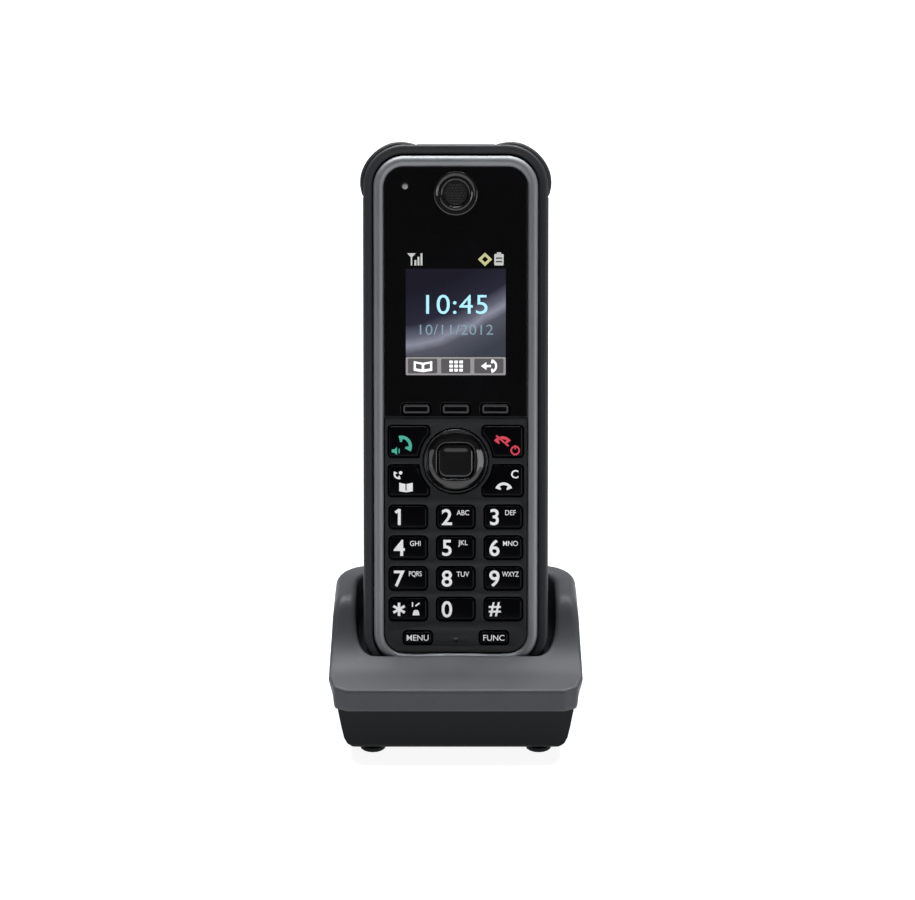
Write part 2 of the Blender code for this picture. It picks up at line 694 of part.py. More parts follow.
def shelf_profile():
    """Side view (y, z) of the upper housing, counter-clockwise as seen from the right."""
    return [
        (0.0, LIP_LOW, 0.0),
        (BASE_DEPTH, LIP_LOW, 0.0),
        (BASE_DEPTH - 5.0, WING_TOP, 3.2),
        (32.0, WING_TOP, 8.0),
        (17.2, 24.3, 20.0),
        (0.0, LIP_HIGH, 0.8),
    ]


def front_profile():
    """Front view (x, z) of the upper housing: widest at the edge of the lip."""
    return mirrored([
        (BASE_SIDE - 1.7, LIP_LOW, 0.0),
        (BASE_SIDE, LIP_HIGH, 2.0),
        (BASE_SIDE - 0.7, 32.0, 4.0),
        (BASE_SIDE - 1.5, WING_TOP, 3.2),
    ])


def plan_profile():
    """Top view (x, y): a flat front, a slanting facet at each front corner, round rear corners."""
    half = [
        (30.4, 0.0, 2.5),
        (34.1, 2.1, 2.0),
        (BASE_SIDE, 7.5, 4.0),
        (BASE_SIDE, BASE_DEPTH, 9.0),
    ]
    return mirrored(half)


def block(name, shelf, front, plan, low, high, material, shelf_cut=4):
    """Solid common to a side view, a front view and a top view."""
    side = BASE_SIDE + 2.0
    solid = prism(name, [rounded(shelf, shelf_cut)], 'X', -side, side, material, BASE)
    front_tool = prism(name + "_front_view", [rounded(front)], 'Y', -2.0, BASE_DEPTH + 2.0, None, BASE)
    plan_tool = prism(name + "_top_view", [rounded(plan, 4)], 'Z', low, high, None, BASE)
    combine(solid, front_tool, 'INTERSECT')
    combine(solid, plan_tool, 'INTERSECT')
    return solid


def lowered(corners, height):
    """The same view with its lowest corners moved straight down to a height."""
    lowest = min(b for _, b, _ in corners)
    return [(a, height if b == lowest else b, radius) for a, b, radius in corners]


def handset_well(name, grow, top):
    """Space round the handset, open at the top; grown by a wall it is the tub that holds it."""
    low = (-WELL_SIDE - grow, WELL_FRONT - grow, WELL_FLOOR - grow)
    high = (WELL_SIDE + grow, WELL_BACK + grow, top)
    return rounded_box(name, low, high, WELL_CORNER + grow, 1.0 + grow, WELL_BACK_EDGE + grow,
                       None, HANDSET, 5)


def make_upper_housing():
    inner_low = LIP_LOW - 8.0
    views = (shelf_profile(), front_profile(), plan_profile())
    housing = block("cradle_upper_housing", *views, 0.0, 50.0, BASE_PLASTIC)
    inner_views = [inset(view, BASE_WALL) for view in views]
    inner_views[0] = lowered(inner_views[0], inner_low)
    inner_views[1] = lowered(inner_views[1], inner_low)
    hollow = block("upper_hollow", *inner_views, 0.0, 50.0, None)
    combine(housing, hollow)
    outer_views = [lowered(views[0], 4.0), lowered(views[1], 4.0), views[2]]
    envelope = block("upper_envelope", *outer_views, 0.0, 50.0, None)
    tub = handset_well("well_tub", TUB_WALL, 60.0)
    combine(tub, envelope, 'INTERSECT')
    combine(housing, tub, 'UNION')
    for side in (-1, 1):
        place = (side * BASE_SCREW_X, BASE_SCREW_Y, 0.0)
        combine(housing, cylinder("upper_boss", 2.8, 11.9, 33.0, place, 'Z', None, BASE, 16), 'UNION')
        combine(housing, cylinder("upper_bore", 1.6, 11.0, 20.0, place, 'Z', None, BASE, 12))
    combine(housing, handset_well("handset_well", 0.0, 70.0))
    for side in (-1, 1):
        combine(housing, box("contact_slot", (side * PAD_X - 1.4, PAD_Y - 1.9, -8.0),
                             (side * PAD_X + 1.4, PAD_Y + 1.9, 1.0)))


def lower_shelf_profile():
    return [(3.4, LOWER_BOTTOM, 1.8), (54.6, LOWER_BOTTOM, 1.8), (56.4, LOWER_TOP, 0.0), (1.2, LOWER_TOP, 0.0)]


def lower_front_profile():
    half = [(30.6, LOWER_BOTTOM, 4.5), (33.0, LOWER_TOP, 0.0)]
    return mirrored(half)


def make_lower_housing():
    plan = inset(plan_profile(), 1.0)
    views = (lower_shelf_profile(), lower_front_profile(), plan)
    housing = block("cradle_lower_housing", *views, 0.0, 30.0, DARK_PLASTIC)
    inner = [inset(view, BASE_WALL) for view in views]
    raised = [[(a, b + 3.0 * (b > LOWER_TOP - 4.0), r) for a, b, r in view] for view in inner[:2]]
    hollow = block("lower_hollow", *raised, inner[2], 0.0, 30.0, None)
    combine(housing, hollow)
    for side in (-1, 1):
        place = (side * BASE_SCREW_X, BASE_SCREW_Y, 0.0)
        combine(housing, cylinder("lower_boss", 4.2, 2.4, 11.6, place, 'Z', None, BASE, 16), 'UNION')
        combine(housing, cylinder("lower_bore", 1.6, 2.0, 12.0, place, 'Z', None, BASE, 12))
        combine(housing, cylinder("lower_counterbore", 3.0, 0.0, 7.0, place, 'Z', None, BASE, 16))
    combine(housing, box("inlet_opening", (-4.9, 50.0, 6.5), (4.9, 60.0, 13.0), BASE))


def make_base_inside():
    board = rounded([(-28.0, 8.0, 2.0), (28.0, 8.0, 2.0), (28.0, 52.5, 2.0), (-28.0, 52.5, 2.0)], 2)
    circuit = prism("charger_board", [board], 'Z', 4.6, 6.2, BOARD_GREEN, BASE)
    for side in (-1, 1):
        place = (side * BASE_SCREW_X, BASE_SCREW_Y, 0.0)
        combine(circuit, cylinder("board_notch", 4.7, 4.0, 7.0, place, 'Z', None, BASE, 16))
        name = "cradle_screw_left" if side < 0 else "cradle_screw_right"
        profile = [(radius, height + 6.7) for radius, height in screw_profile(11.5)]
        turned(name, profile, place, 'Z', STEEL, BASE, 10)
    jack = rounded_box("power_jack", (-4.5, 46.6, 6.8), (4.5, 55.2, 12.7), 0.5, 0.0, 0.0,
                       DARK_PLASTIC, BASE, 1)
    place = (0.0, 0.0, 9.75)
    combine(jack, cylinder("jack_bore", 2.3, 47.6, 57.0, place, 'Y', None, BASE, 16))
    combine(jack, cylinder("jack_pin", 0.7, 47.0, 54.4, place, 'Y', None, BASE, 10), 'UNION')


def make_contacts():
    """Sprung contact blades, with rounded tips, that stand out of the floor of the well."""
    for name, side in (("charge_contact_left", -1), ("charge_contact_right", 1)):
        tip = WELL_FLOOR + 0.25
        outline = rounded([(PAD_Y - 1.5, tip - CONTACT_LENGTH, 0.0), (PAD_Y + 1.5, tip - CONTACT_LENGTH, 0.0),
                           (PAD_Y + 1.5, tip, 1.2), (PAD_Y - 1.5, tip, 1.2)], 3)
        x = side * PAD_X
        blade = prism(name, [outline], 'X', x - 0.9, x + 0.9, GOLD, HANDSET)
        move_origin(blade, (x, PAD_Y, tip))


def make_feet():
    for y, row in zip(FOOT_Y, ("front", "rear")):
        for side, hand in ((-1, "left"), (1, "right")):
            profile = [(FOOT_RADIUS, 1.3), (FOOT_RADIUS, 0.3), (FOOT_RADIUS - 0.4, 0.0)]
            turned("foot_" + row + "_" + hand, profile, (side * FOOT_X, y, 0.0), 'Z', RUBBER, BASE, 16)


make_front_case()
make_case_seal()
make_rear_case()
make_bumpers()
make_display_window()
make_keypad_bezel()
make_receiver()
make_indicator_lens()
make_keys()
make_navigator()
make_boards()
make_inner_parts()
make_vibration_weight()
make_case_screws()
make_battery_cover()
make_cover_lock()
make_upper_housing()
make_lower_housing()
make_base_inside()
make_contacts()
make_feet()
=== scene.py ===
"""Looks of a cordless phone that stands in its charging base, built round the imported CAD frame."""
import json
import math

import bmesh
import bpy
from mathutils import Matrix, Vector


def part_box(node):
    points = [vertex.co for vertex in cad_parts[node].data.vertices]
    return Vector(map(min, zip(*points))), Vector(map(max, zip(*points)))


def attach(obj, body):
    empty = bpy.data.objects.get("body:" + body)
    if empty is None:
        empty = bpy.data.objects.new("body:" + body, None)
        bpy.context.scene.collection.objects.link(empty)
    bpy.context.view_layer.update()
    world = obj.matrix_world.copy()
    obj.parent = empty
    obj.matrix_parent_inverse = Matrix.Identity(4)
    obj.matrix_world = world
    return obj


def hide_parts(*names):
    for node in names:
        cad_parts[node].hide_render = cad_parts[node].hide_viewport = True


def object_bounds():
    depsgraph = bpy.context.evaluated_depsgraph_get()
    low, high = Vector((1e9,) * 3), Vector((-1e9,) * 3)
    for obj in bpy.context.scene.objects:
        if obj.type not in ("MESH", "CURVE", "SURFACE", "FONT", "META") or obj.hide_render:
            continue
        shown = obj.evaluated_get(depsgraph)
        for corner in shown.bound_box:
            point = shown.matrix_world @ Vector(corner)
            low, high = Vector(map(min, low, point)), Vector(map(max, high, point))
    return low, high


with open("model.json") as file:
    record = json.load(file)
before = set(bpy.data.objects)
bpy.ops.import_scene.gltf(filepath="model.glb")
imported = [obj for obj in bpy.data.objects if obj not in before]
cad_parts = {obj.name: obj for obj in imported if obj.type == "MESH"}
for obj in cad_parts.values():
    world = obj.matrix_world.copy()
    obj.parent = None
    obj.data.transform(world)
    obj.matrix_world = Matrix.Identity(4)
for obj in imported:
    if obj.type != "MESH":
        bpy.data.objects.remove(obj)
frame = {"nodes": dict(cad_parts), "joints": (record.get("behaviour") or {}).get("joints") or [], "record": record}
CAD_LOW, CAD_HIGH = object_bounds()
NODES = frame["nodes"]

MM = 0.001
GAP = 0.3

# -------------------------------- frames, in millimetres

lift = next(joint for joint in frame["joints"] if joint["name"] == "handset_lift")
UP = Vector(lift["axis"]).normalized()          # along the handset
BACK = Vector((0.0, UP.z, -UP.y))               # into the handset


def lowest(node, direction):
    return min(vertex.co.dot(direction) for vertex in NODES[node].data.vertices)


def local_frame(across, back, up, origin):
    columns = Matrix((across * MM, back * MM, up * MM)).transposed().to_4x4()
    return Matrix.Translation(origin) @ columns


HANDSET = local_frame(Vector((1.0, 0.0, 0.0)), BACK, UP,
                      BACK * lowest("front_case", BACK) + UP * lowest("rear_case", UP))
BASE = local_frame(Vector((1.0, 0.0, 0.0)), Vector((0.0, 1.0, 0.0)), Vector((0.0, 0.0, 1.0)),
                   Vector((0.0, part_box("cradle_upper_housing")[0].y, CAD_LOW.z)))
BASE_FROM_HANDSET = BASE.inverted() @ HANDSET
HANDSET_FROM_BASE = HANDSET.inverted() @ BASE

# -------------------------------- sizes of the handset

WIDTH = 52.1
LENGTH = 149.5
DEPTH = 25.5
CORNER = 11.7
BACK_EDGE = 9.1
WALL = 2.75
TRIM_LOW = 3.3
TRIM_HIGH = 146.2
TRIM_WIDTH = 46.0
TRIM_CORNER = 8.7
TRIM_SIDE = 2.7
TRIM_END = 2.9
FACE_WIDTH = 40.0
FACE_LOW = 6.5
FACE_SPLIT = 72.9
FACE_HIGH = 143.0
FACE_CORNER = 5.5
FACE_FRONT = 0.9
KEY_FRONT = 0.3
SOFT_FRONT = 0.6               # fronts of the three keys in the window
NAV_CENTRE = (0.0, 60.7)
RECEIVER_CENTRE = (0.0, 135.7)
LENS_CENTRE = (-14.2, 137.7)
DIAL_PITCH_X = 13.4
DIAL_ROWS = (44.9, 36.2, 27.5, 18.8)
DIAL_NAMES = (
    ("key_1", "key_2", "key_3"),
    ("key_4", "key_5", "key_6"),
    ("key_7", "key_8", "key_9"),
    ("key_star", "key_0", "key_hash"),
)
SOFT_NAMES = ("soft_key_left", "soft_key_centre", "soft_key_right")
SIDE_NAMES = {"talk_key": (-1, 1), "off_key": (1, 1), "message_key": (-1, -1), "cancel_key": (1, -1)}
CENTRE_KEY = (9.8, 9.3, 2.4)
SIDE_LEGEND = 14.4             # legends of the keys beside the ring, from the middle
BUMPER_CENTRE = (14.4, 137.7)  # a corner bumper bends round this point
BUMPER_END = (11.1, 134.9)     # its straight tails reach these two lines
SCREW_PLACE = (16.2, 131.0)
GRILLE_LEVEL = 124.0
CONTACT_SIDE = 8.0             # charge contacts, from the middle
THROUGH = 30.0                 # depth behind the handset, where cuts through its back end
SCREEN = (28.0, 24.6)          # the display's wallpaper
SCREEN_LEVEL = 102.4
SOFT_BAR_LEVEL = 87.4          # signs above the soft keys

# -------------------------------- outlines


def circle(radius, centre=(0.0, 0.0), steps=64):
    turns = [2 * math.pi * step / steps for step in range(steps)]
    return [(centre[0] + radius * math.cos(t), centre[1] + radius * math.sin(t)) for t in turns]


def rounded(corners, steps=8):
    """Closed outline through corners (a, b, radius), each rounded by its own radius."""
    outline = []
    for index, (a, b, radius) in enumerate(corners):
        corner = Vector((a, b))
        if radius <= 0:
            outline.append((a, b))
            continue
        before = (Vector(corners[index - 1][:2]) - corner).normalized()
        after = (Vector(corners[(index + 1) % len(corners)][:2]) - corner).normalized()
        half = math.acos(max(-1.0, min(1.0, before.dot(after)))) / 2
        centre = corner + (before + after).normalized() * (radius / math.sin(half))
        first = corner + before * (radius / math.tan(half)) - centre
        last = corner + after * (radius / math.tan(half)) - centre
        start = math.atan2(first.y, first.x)
        turn = (math.atan2(last.y, last.x) - start + math.pi) % (2 * math.pi) - math.pi
        for step in range(steps + 1):
            angle = start + turn * step / steps
            outline.append((centre.x + radius * math.cos(angle), centre.y + radius * math.sin(angle)))
    return outline


def rectangle(width, height, radius, centre=(0.0, 0.0), steps=8):
    x, z = centre
    corners = [(-1, -1), (1, -1), (1, 1), (-1, 1)]
    return rounded([(x + i * width / 2, z + j * height / 2, max(radius, 0.02)) for i, j in corners], steps)


def mirrored(half):
    """Corners on the right, in order upward, completed by their mirror images."""
    return half + [(-a, b, radius) for a, b, radius in reversed(half)]


# -------------------------------- meshes

def loft(rings, closed=False):
    """Skin through rings of equally many points. Closed joins the last ring to the first, otherwise both are capped."""
    shape = bmesh.new()
    rows = [[shape.verts.new(point) for point in ring] for ring in rings]
    pairs = list(zip(rows, rows[1:])) + ([(rows[-1], rows[0])] if closed else [])
    for lower, upper in pairs:
        for index in range(len(lower)):
            after = (index + 1) % len(lower)
            shape.faces.new((lower[index], lower[after], upper[after], upper[index]))
    if not closed:
        shape.faces.new(rows[0])
        shape.faces.new(rows[-1])
    return as_mesh(shape)


def as_mesh(shape, merge=0.0):
    if merge:
        bmesh.ops.remove_doubles(shape, verts=shape.verts, dist=merge)
    bmesh.ops.recalc_face_normals(shape, faces=shape.faces)
    mesh = bpy.data.meshes.new("shape")
    shape.to_mesh(mesh)
    shape.free()
    return mesh


def evaluated(thing):
    """Mesh of a curve, text or modified object, which is then deleted."""
    bpy.context.view_layer.update()
    graph = bpy.context.evaluated_depsgraph_get()
    mesh = bpy.data.meshes.new_from_object(thing.evaluated_get(graph))
    bpy.data.objects.remove(thing)
    return mesh


def temporary(data):
    thing = bpy.data.objects.new("temporary", data)
    bpy.context.scene.collection.objects.link(thing)
    return thing


def face_forward(mesh, middle):
    """Turns a flat shape drawn in x and y so that it faces the front, with its middle at that depth."""
    mesh.transform(Matrix.Translation((0.0, middle, 0.0)) @ Matrix.Rotation(math.pi / 2, 4, 'X'))
    shape = bmesh.new()
    shape.from_mesh(mesh)
    bpy.data.meshes.remove(mesh)
    return as_mesh(shape, 0.0005)


def plate(outlines, front, back, edge=0.0, steps=3):
    """Flat part with an outer outline and holes, seen from the front, with rounded edges."""
    curve = bpy.data.curves.new("plate", 'CURVE')
    curve.dimensions = '2D'
    curve.fill_mode = 'BOTH'
    for outline in outlines:
        spline = curve.splines.new('POLY')
        spline.points.add(len(outline) - 1)
        for point, (x, z) in zip(spline.points, outline):
            point.co = (x, z, 0.0, 1.0)
        spline.use_cyclic_u = True
    curve.extrude = (back - front) / 2 - edge
    curve.bevel_depth = edge
    curve.bevel_resolution = steps
    curve.offset = -edge
    return face_forward(evaluated(temporary(curve)), (front + back) / 2)


CAPITAL = 0.73                 # height of a capital in Blender's own font, as a share of its size


def lettering(text, height, centre, front, bold=0.0, spacing=1.0, squeeze=1.0):
    """Thin raised characters of that height, seen from the front."""
    curve = bpy.data.curves.new("lettering", 'FONT')
    curve.body = text
    curve.size = height / CAPITAL
    curve.offset = bold
    curve.space_character = spacing
    curve.extrude = INK / 2
    curve.align_x = 'CENTER'
    curve.align_y = 'CENTER'
    mesh = evaluated(temporary(curve))
    lows = [min(vertex.co[axis] for vertex in mesh.vertices) for axis in (0, 1)]
    highs = [max(vertex.co[axis] for vertex in mesh.vertices) for axis in (0, 1)]
    middle = Vector(((lows[0] + highs[0]) / 2, (lows[1] + highs[1]) / 2, 0.0))
    mesh.transform(Matrix.Diagonal((squeeze, 1.0, 1.0, 1.0)) @ Matrix.Translation(-middle))
    mesh = face_forward(mesh, front - INK / 4)
    mesh.transform(Matrix.Translation((centre[0], 0.0, centre[1])))
    return mesh


def stamp(outlines, front):
    """Thin raised symbol."""
    return plate(outlines, front - INK * 0.75, front + INK * 0.25)


def joined(meshes):
    shape = bmesh.new()
    for mesh in meshes:
        shape.from_mesh(mesh)
        bpy.data.meshes.remove(mesh)
    mesh = bpy.data.meshes.new("shape")
    shape.to_mesh(mesh)
    shape.free()
    return mesh


def combined(mesh, tools, operation='DIFFERENCE'):
    """The mesh cut by, or united with, each tool."""
    for tool in tools:
        target, cutter = temporary(mesh), temporary(tool)
        step = target.modifiers.new("combine", 'BOOLEAN')
        step.operation = operation
        step.object = cutter
        step.solver = 'EXACT'
        result = evaluated(target)
        bpy.data.objects.remove(cutter)
        mesh = result
    return mesh


def cuboid(low, high):
    (x0, y0, z0), (x1, y1, z1) = low, high
    corners = ((x0, z0), (x1, z0), (x1, z1), (x0, z1))
    return loft([[(x, y, z) for x, z in corners] for y in (y0, y1)])


def rod(radius, start, end, centre):
    """Cylinder along the depth."""
    return loft([[(x, y, z) for x, z in circle(radius, centre, 32)] for y in (start, end)])


def turned(profile, centre):
    """Closed profile (radius, depth) turned round an axis that runs into the handset."""
    return loft([[(x, depth, z) for x, z in circle(radius, centre, 96)] for radius, depth in profile], closed=True)


def piece(name, mesh, place, material, body, replaced=(), angle=32.0):
    """Puts a mesh in place as a visible piece of the phone."""
    mesh.transform(place)
    mesh.materials.clear()
    mesh.materials.append(material)
    mesh.shade_smooth()
    mesh.set_sharp_from_angle(angle=math.radians(angle))
    item = bpy.data.objects.new(name, mesh)
    mesh.name = name
    bpy.context.scene.collection.objects.link(item)
    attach(item, body)
    if replaced:
        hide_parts(*replaced)
    return item


# -------------------------------- materials

def add_node(tree, kind, inputs=None, **settings):
    node = tree.nodes.new(kind)
    for key, value in settings.items():
        setattr(node, key, value)
    for key, value in (inputs or {}).items():
        if isinstance(value, bpy.types.NodeSocket):
            tree.links.new(value, node.inputs[key])
        else:
            node.inputs[key].default_value = value
    return node


def ramp(tree, factor, stops):
    node = add_node(tree, "ShaderNodeValToRGB", {"Fac": factor})
    elements = node.color_ramp.elements
    while len(elements) < len(stops):
        elements.new(1.0)
    for element, (position, colour) in zip(elements, stops):
        element.position = position
        element.color = colour if len(colour) == 4 else (*colour, 1.0)
    return node.outputs["Color"]


def maths(tree, operation, *values):
    return add_node(tree, "ShaderNodeMath", dict(enumerate(values)), operation=operation).outputs[0]


def grey(value):
    return (value, value, value)


def scaled(colour, factor):
    return tuple(min(1.0, channel * factor) for channel in colour[:3])


def surface(name, colour, roughness, grain=0.0, depth=0.0, spread=0.08, metallic=0.0, specular=0.5,
            wear=1.35, clouds=90.0):
    """Moulded or metal surface: fine grain, cloudy variation, handling wear along the edges.

    The grain is in millimetres, and its depth too."""
    material = bpy.data.materials.new(name)
    material.use_nodes = True
    tree = material.node_tree
    tree.nodes.clear()
    place = add_node(tree, "ShaderNodeTexCoord").outputs["Object"]
    cloud = add_node(tree, "ShaderNodeTexNoise", {"Vector": place, "Scale": clouds, "Detail": 6.0, "Roughness": 0.6})
    edge = add_node(tree, "ShaderNodeNewGeometry").outputs["Pointiness"]
    worn = add_node(tree, "ShaderNodeMapRange", {"Value": edge, "From Min": 0.505, "From Max": 0.56}).outputs["Result"]
    patches = maths(tree, 'MULTIPLY', worn, cloud.outputs["Fac"])
    shade = ramp(tree, cloud.outputs["Fac"], [(0.3, scaled(colour, 1 - spread)), (0.7, scaled(colour, 1 + spread))])
    tint = add_node(tree, "ShaderNodeMix", {"Factor": patches, "A": shade,
                                            "B": (*scaled(colour, wear), 1.0)}, data_type='RGBA')
    rough = ramp(tree, cloud.outputs["Fac"], [(0.25, grey(roughness * 0.88)), (0.75, grey(min(1.0, roughness * 1.12)))])
    shader = add_node(tree, "ShaderNodeBsdfPrincipled", {
        "Base Color": tint.outputs["Result"], "Roughness": rough, "Metallic": metallic,
        "Specular IOR Level": specular})
    if grain:
        bumps = add_node(tree, "ShaderNodeTexNoise", {"Vector": place, "Scale": 1000.0 / grain, "Detail": 3.0})
        relief = add_node(tree, "ShaderNodeBump", {"Height": bumps.outputs["Fac"], "Strength": 1.0,
                                                   "Distance": depth * MM})
        tree.links.new(relief.outputs["Normal"], shader.inputs["Normal"])
    add_node(tree, "ShaderNodeOutputMaterial", {"Surface": shader.outputs[0]})
    return material


def printed(name, colour, glow=0.0):
    """Printed or backlit ink, slightly uneven."""
    material = surface(name, colour, 0.5, grain=0.12, depth=0.002, spread=0.06, clouds=900.0)
    if glow:
        shader = material.node_tree.nodes["Principled BSDF"]
        shader.inputs["Emission Color"].default_value = (*colour, 1.0)
        shader.inputs["Emission Strength"].default_value = glow
    return material


INK = 0.04                     # thickness of a print
BASE_PLASTIC = surface("base_plastic_look", (0.051, 0.0535, 0.061), 0.52, grain=0.32, depth=0.006, specular=0.22)
LOWER_PLASTIC = surface("base_lower_look", (0.004, 0.005, 0.006), 0.5, grain=0.32, depth=0.006, specular=0.12)
CASE_RUBBER = surface("case_rubber_look", (0.024, 0.025, 0.028), 0.55, grain=0.22, depth=0.006, wear=1.8,
                      specular=0.25)
BUMPER_RUBBER = surface("bumper_rubber_look", (0.020, 0.021, 0.024), 0.58, grain=0.22, depth=0.008, wear=1.8,
                        specular=0.25)
FOOT_RUBBER = surface("foot_rubber_look", (0.006, 0.006, 0.007), 0.7, grain=0.2, depth=0.01, specular=0.15)
TRIM_PAINT = surface("trim_paint_look", (0.23, 0.24, 0.254), 0.62, grain=0.10, depth=0.0012, metallic=0.85)
WINDOW_BLACK = surface("window_look", (0.0018, 0.0016, 0.0022), 0.05, spread=0.2, specular=0.42, wear=1.0)
PANEL_PLASTIC = surface("panel_look", (0.0088, 0.0102, 0.0116), 0.45, grain=0.18, depth=0.006, specular=0.4)
KEY_PLASTIC = surface("key_look", (0.0018, 0.0016, 0.0025), 0.24, grain=0.16, depth=0.002, specular=0.06)
GLOSS_BLACK = surface("gloss_look", (0.008, 0.008, 0.009), 0.12, spread=0.15, wear=1.0)
LENS_LOOK = surface("lens_look", (0.30, 0.31, 0.30), 0.2, spread=0.1)
SILICONE = surface("silicone_look", (0.22, 0.23, 0.23), 0.6, grain=0.2, depth=0.004)
CIRCUIT = surface("circuit_look", (0.010, 0.075, 0.030), 0.4, grain=0.5, depth=0.01, spread=0.25, clouds=400.0)
CELL_WRAP = surface("cell_wrap_look", (0.16, 0.18, 0.21), 0.45, grain=0.3, depth=0.004, spread=0.12)
STEEL = surface("steel_look", (0.42, 0.42, 0.43), 0.32, grain=0.08, depth=0.002, metallic=1.0, wear=1.2)
GOLD = surface("gold_look", (0.62, 0.42, 0.15), 0.26, grain=0.08, depth=0.002, metallic=1.0, wear=1.2)
BLACK_PLASTIC = surface("black_plastic_look", (0.010, 0.010, 0.011), 0.40, grain=0.25, depth=0.005)
LCD_GLASS = surface("lcd_look", (0.03, 0.035, 0.045), 0.12, spread=0.1, wear=1.0)
WHITE_INK = printed("white_ink", (0.78, 0.80, 0.82), 0.10)
GREEN_INK = printed("green_ink", (0.05, 0.36, 0.27), 0.25)
RED_INK = printed("red_ink", (0.55, 0.045, 0.07), 0.25)
GREY_INK = printed("grey_ink", (0.045, 0.043, 0.046))

CAD_LOOKS = {
    "base_lower_plastic": LOWER_PLASTIC, "foot_rubber": FOOT_RUBBER, "charger_circuit": CIRCUIT,
    "jack_plastic": BLACK_PLASTIC, "steel": STEEL, "gold_plating": GOLD, "lens_plastic": LENS_LOOK,
    "lcd_glass": LCD_GLASS, "circuit_board": CIRCUIT, "silicone": SILICONE, "battery_wrap": CELL_WRAP,
    "cover_plastic": CASE_RUBBER, "lock_plastic": BLACK_PLASTIC, "component_metal": STEEL,
}

# -------------------------------- handset: shells


def slab_outline(inset):
    """Handset seen from the front, smaller all round by an inset."""
    return rectangle(WIDTH - 2 * inset, LENGTH - 2 * inset, CORNER - inset, (0.0, LENGTH / 2), 16)


def trim_outline(share):
    """Trim bead seen from the front: its outer line at share 0, its inner line at share 1."""
    width = TRIM_WIDTH - 2 * TRIM_SIDE * share
    height = TRIM_HIGH - TRIM_LOW - 2 * TRIM_END * share
    middle = (TRIM_LOW + TRIM_HIGH) / 2
    return rectangle(width, height, TRIM_CORNER - TRIM_END * share, (0.0, middle), 16)


def at_depth(outline, depth):
    return [(x, depth, z) for x, z in outline]


def quarter(radius, steps):
    """Insets and rises of a quarter round, from its wall to its flat."""
    turns = [math.pi / 2 * step / steps for step in range(steps + 1)]
    return [(radius * (1 - math.cos(t)), radius * math.sin(t)) for t in turns]


def make_back_shell():
    """Back shell with its battery tray, the cover's opening, the loudspeaker's grille and the screw bosses."""
    inside = [(WALL + inset, DEPTH - BACK_EDGE + rise) for inset, rise in quarter(BACK_EDGE - WALL, 6)]
    rim = [(2.75, 1.7), (2.45, 1.36), (2.0, 1.16), (1.55, 1.03), (1.15, 0.96), (0.8, 0.95), (0.45, 1.12),
           (0.2, 1.45), (0.05, 1.95), (0.0, 2.6)]
    outside = [(inset, DEPTH - BACK_EDGE + rise) for inset, rise in quarter(BACK_EDGE, 14)]
    profile = list(reversed(inside)) + rim + outside
    shell = loft([at_depth(slab_outline(inset), depth) for inset, depth in profile])
    tray = cuboid((-20.0, 13.5, 43.5), (20.0, 23.5, 108.7))
    hollow = cuboid((-18.8, 14.7, 44.7), (18.8, 23.3, 107.6))
    cover_opening = plate([rectangle(37.6, 60.6, 0.9, (0.0, 75.0), 6)], 20.0, THROUGH)
    shell = combined(shell, [tray], 'UNION')
    tools = [hollow, cover_opening]
    for row in range(-2, 3):
        reach = 7.0 - abs(row) * 1.2
        slot = rectangle(2 * reach, 1.2, 0.59, (0.0, GRILLE_LEVEL + row * 3.0), 6)
        tools.append(plate([slot], 20.0, THROUGH))
    for side in (-1, 1):
        contact = side * CONTACT_SIDE
        tools.append(cuboid((contact - 2.8, 9.9, -1.0), (contact + 2.8, 13.5, 4.0)))
        tools.append(plate([bumper_pocket(side)], 1.6, 22.3))
    shell = combined(shell, tools)
    screws = [(side * SCREW_PLACE[0], SCREW_PLACE[1]) for side in (-1, 1)]
    shell = combined(shell, [rod(4.2, 12.0, 23.5, place) for place in screws], 'UNION')
    shafts = [rod(1.6, 11.0, 20.0, place) for place in screws]
    heads = [rod(3.0, 19.0, 28.0, place) for place in screws]
    shell = combined(shell, shafts + heads)
    piece("back_shell", shell, HANDSET, CASE_RUBBER, "handset", ["rear_case"])


def bumper_pocket(side):
    """Recess for a bumper: a quarter ring round a top corner, with a short straight tail at each end."""
    inner, outer = 10.5, 14.7
    x0, z0 = BUMPER_CENTRE
    end_x, end_z = BUMPER_END[0] - GAP, BUMPER_END[1] - GAP
    turns = [math.pi / 2 * step / 20 for step in range(21)]
    points = [(x0 + outer, end_z)]
    points += [(x0 + outer * math.cos(t), z0 + outer * math.sin(t)) for t in turns]
    points += [(end_x, z0 + outer), (end_x, z0 + inner)]
    points += [(x0 + inner * math.cos(t), z0 + inner * math.sin(t)) for t in reversed(turns)]
    points += [(x0 + inner, end_z)]
    return [(side * x, z) for x, z in points]


def bumper_stations(side):
    """Points along the middle of a corner bumper: where its rays start, and where they point."""
    x0, z0 = BUMPER_CENTRE
    end_x, end_z = BUMPER_END
    stations = [(x0, end_z + (z0 - end_z) * step / 6, 1.0, 0.0) for step in range(6)]
    turns = [math.pi / 2 * step / 24 for step in range(25)]
    stations += [(x0, z0, math.cos(t), math.sin(t)) for t in turns]
    stations += [(x0 - (x0 - end_x) * step / 6, z0, 0.0, 1.0) for step in range(1, 7)]
    return [(side * x, z, side * dx, dz) for x, z, dx, dz in stations]


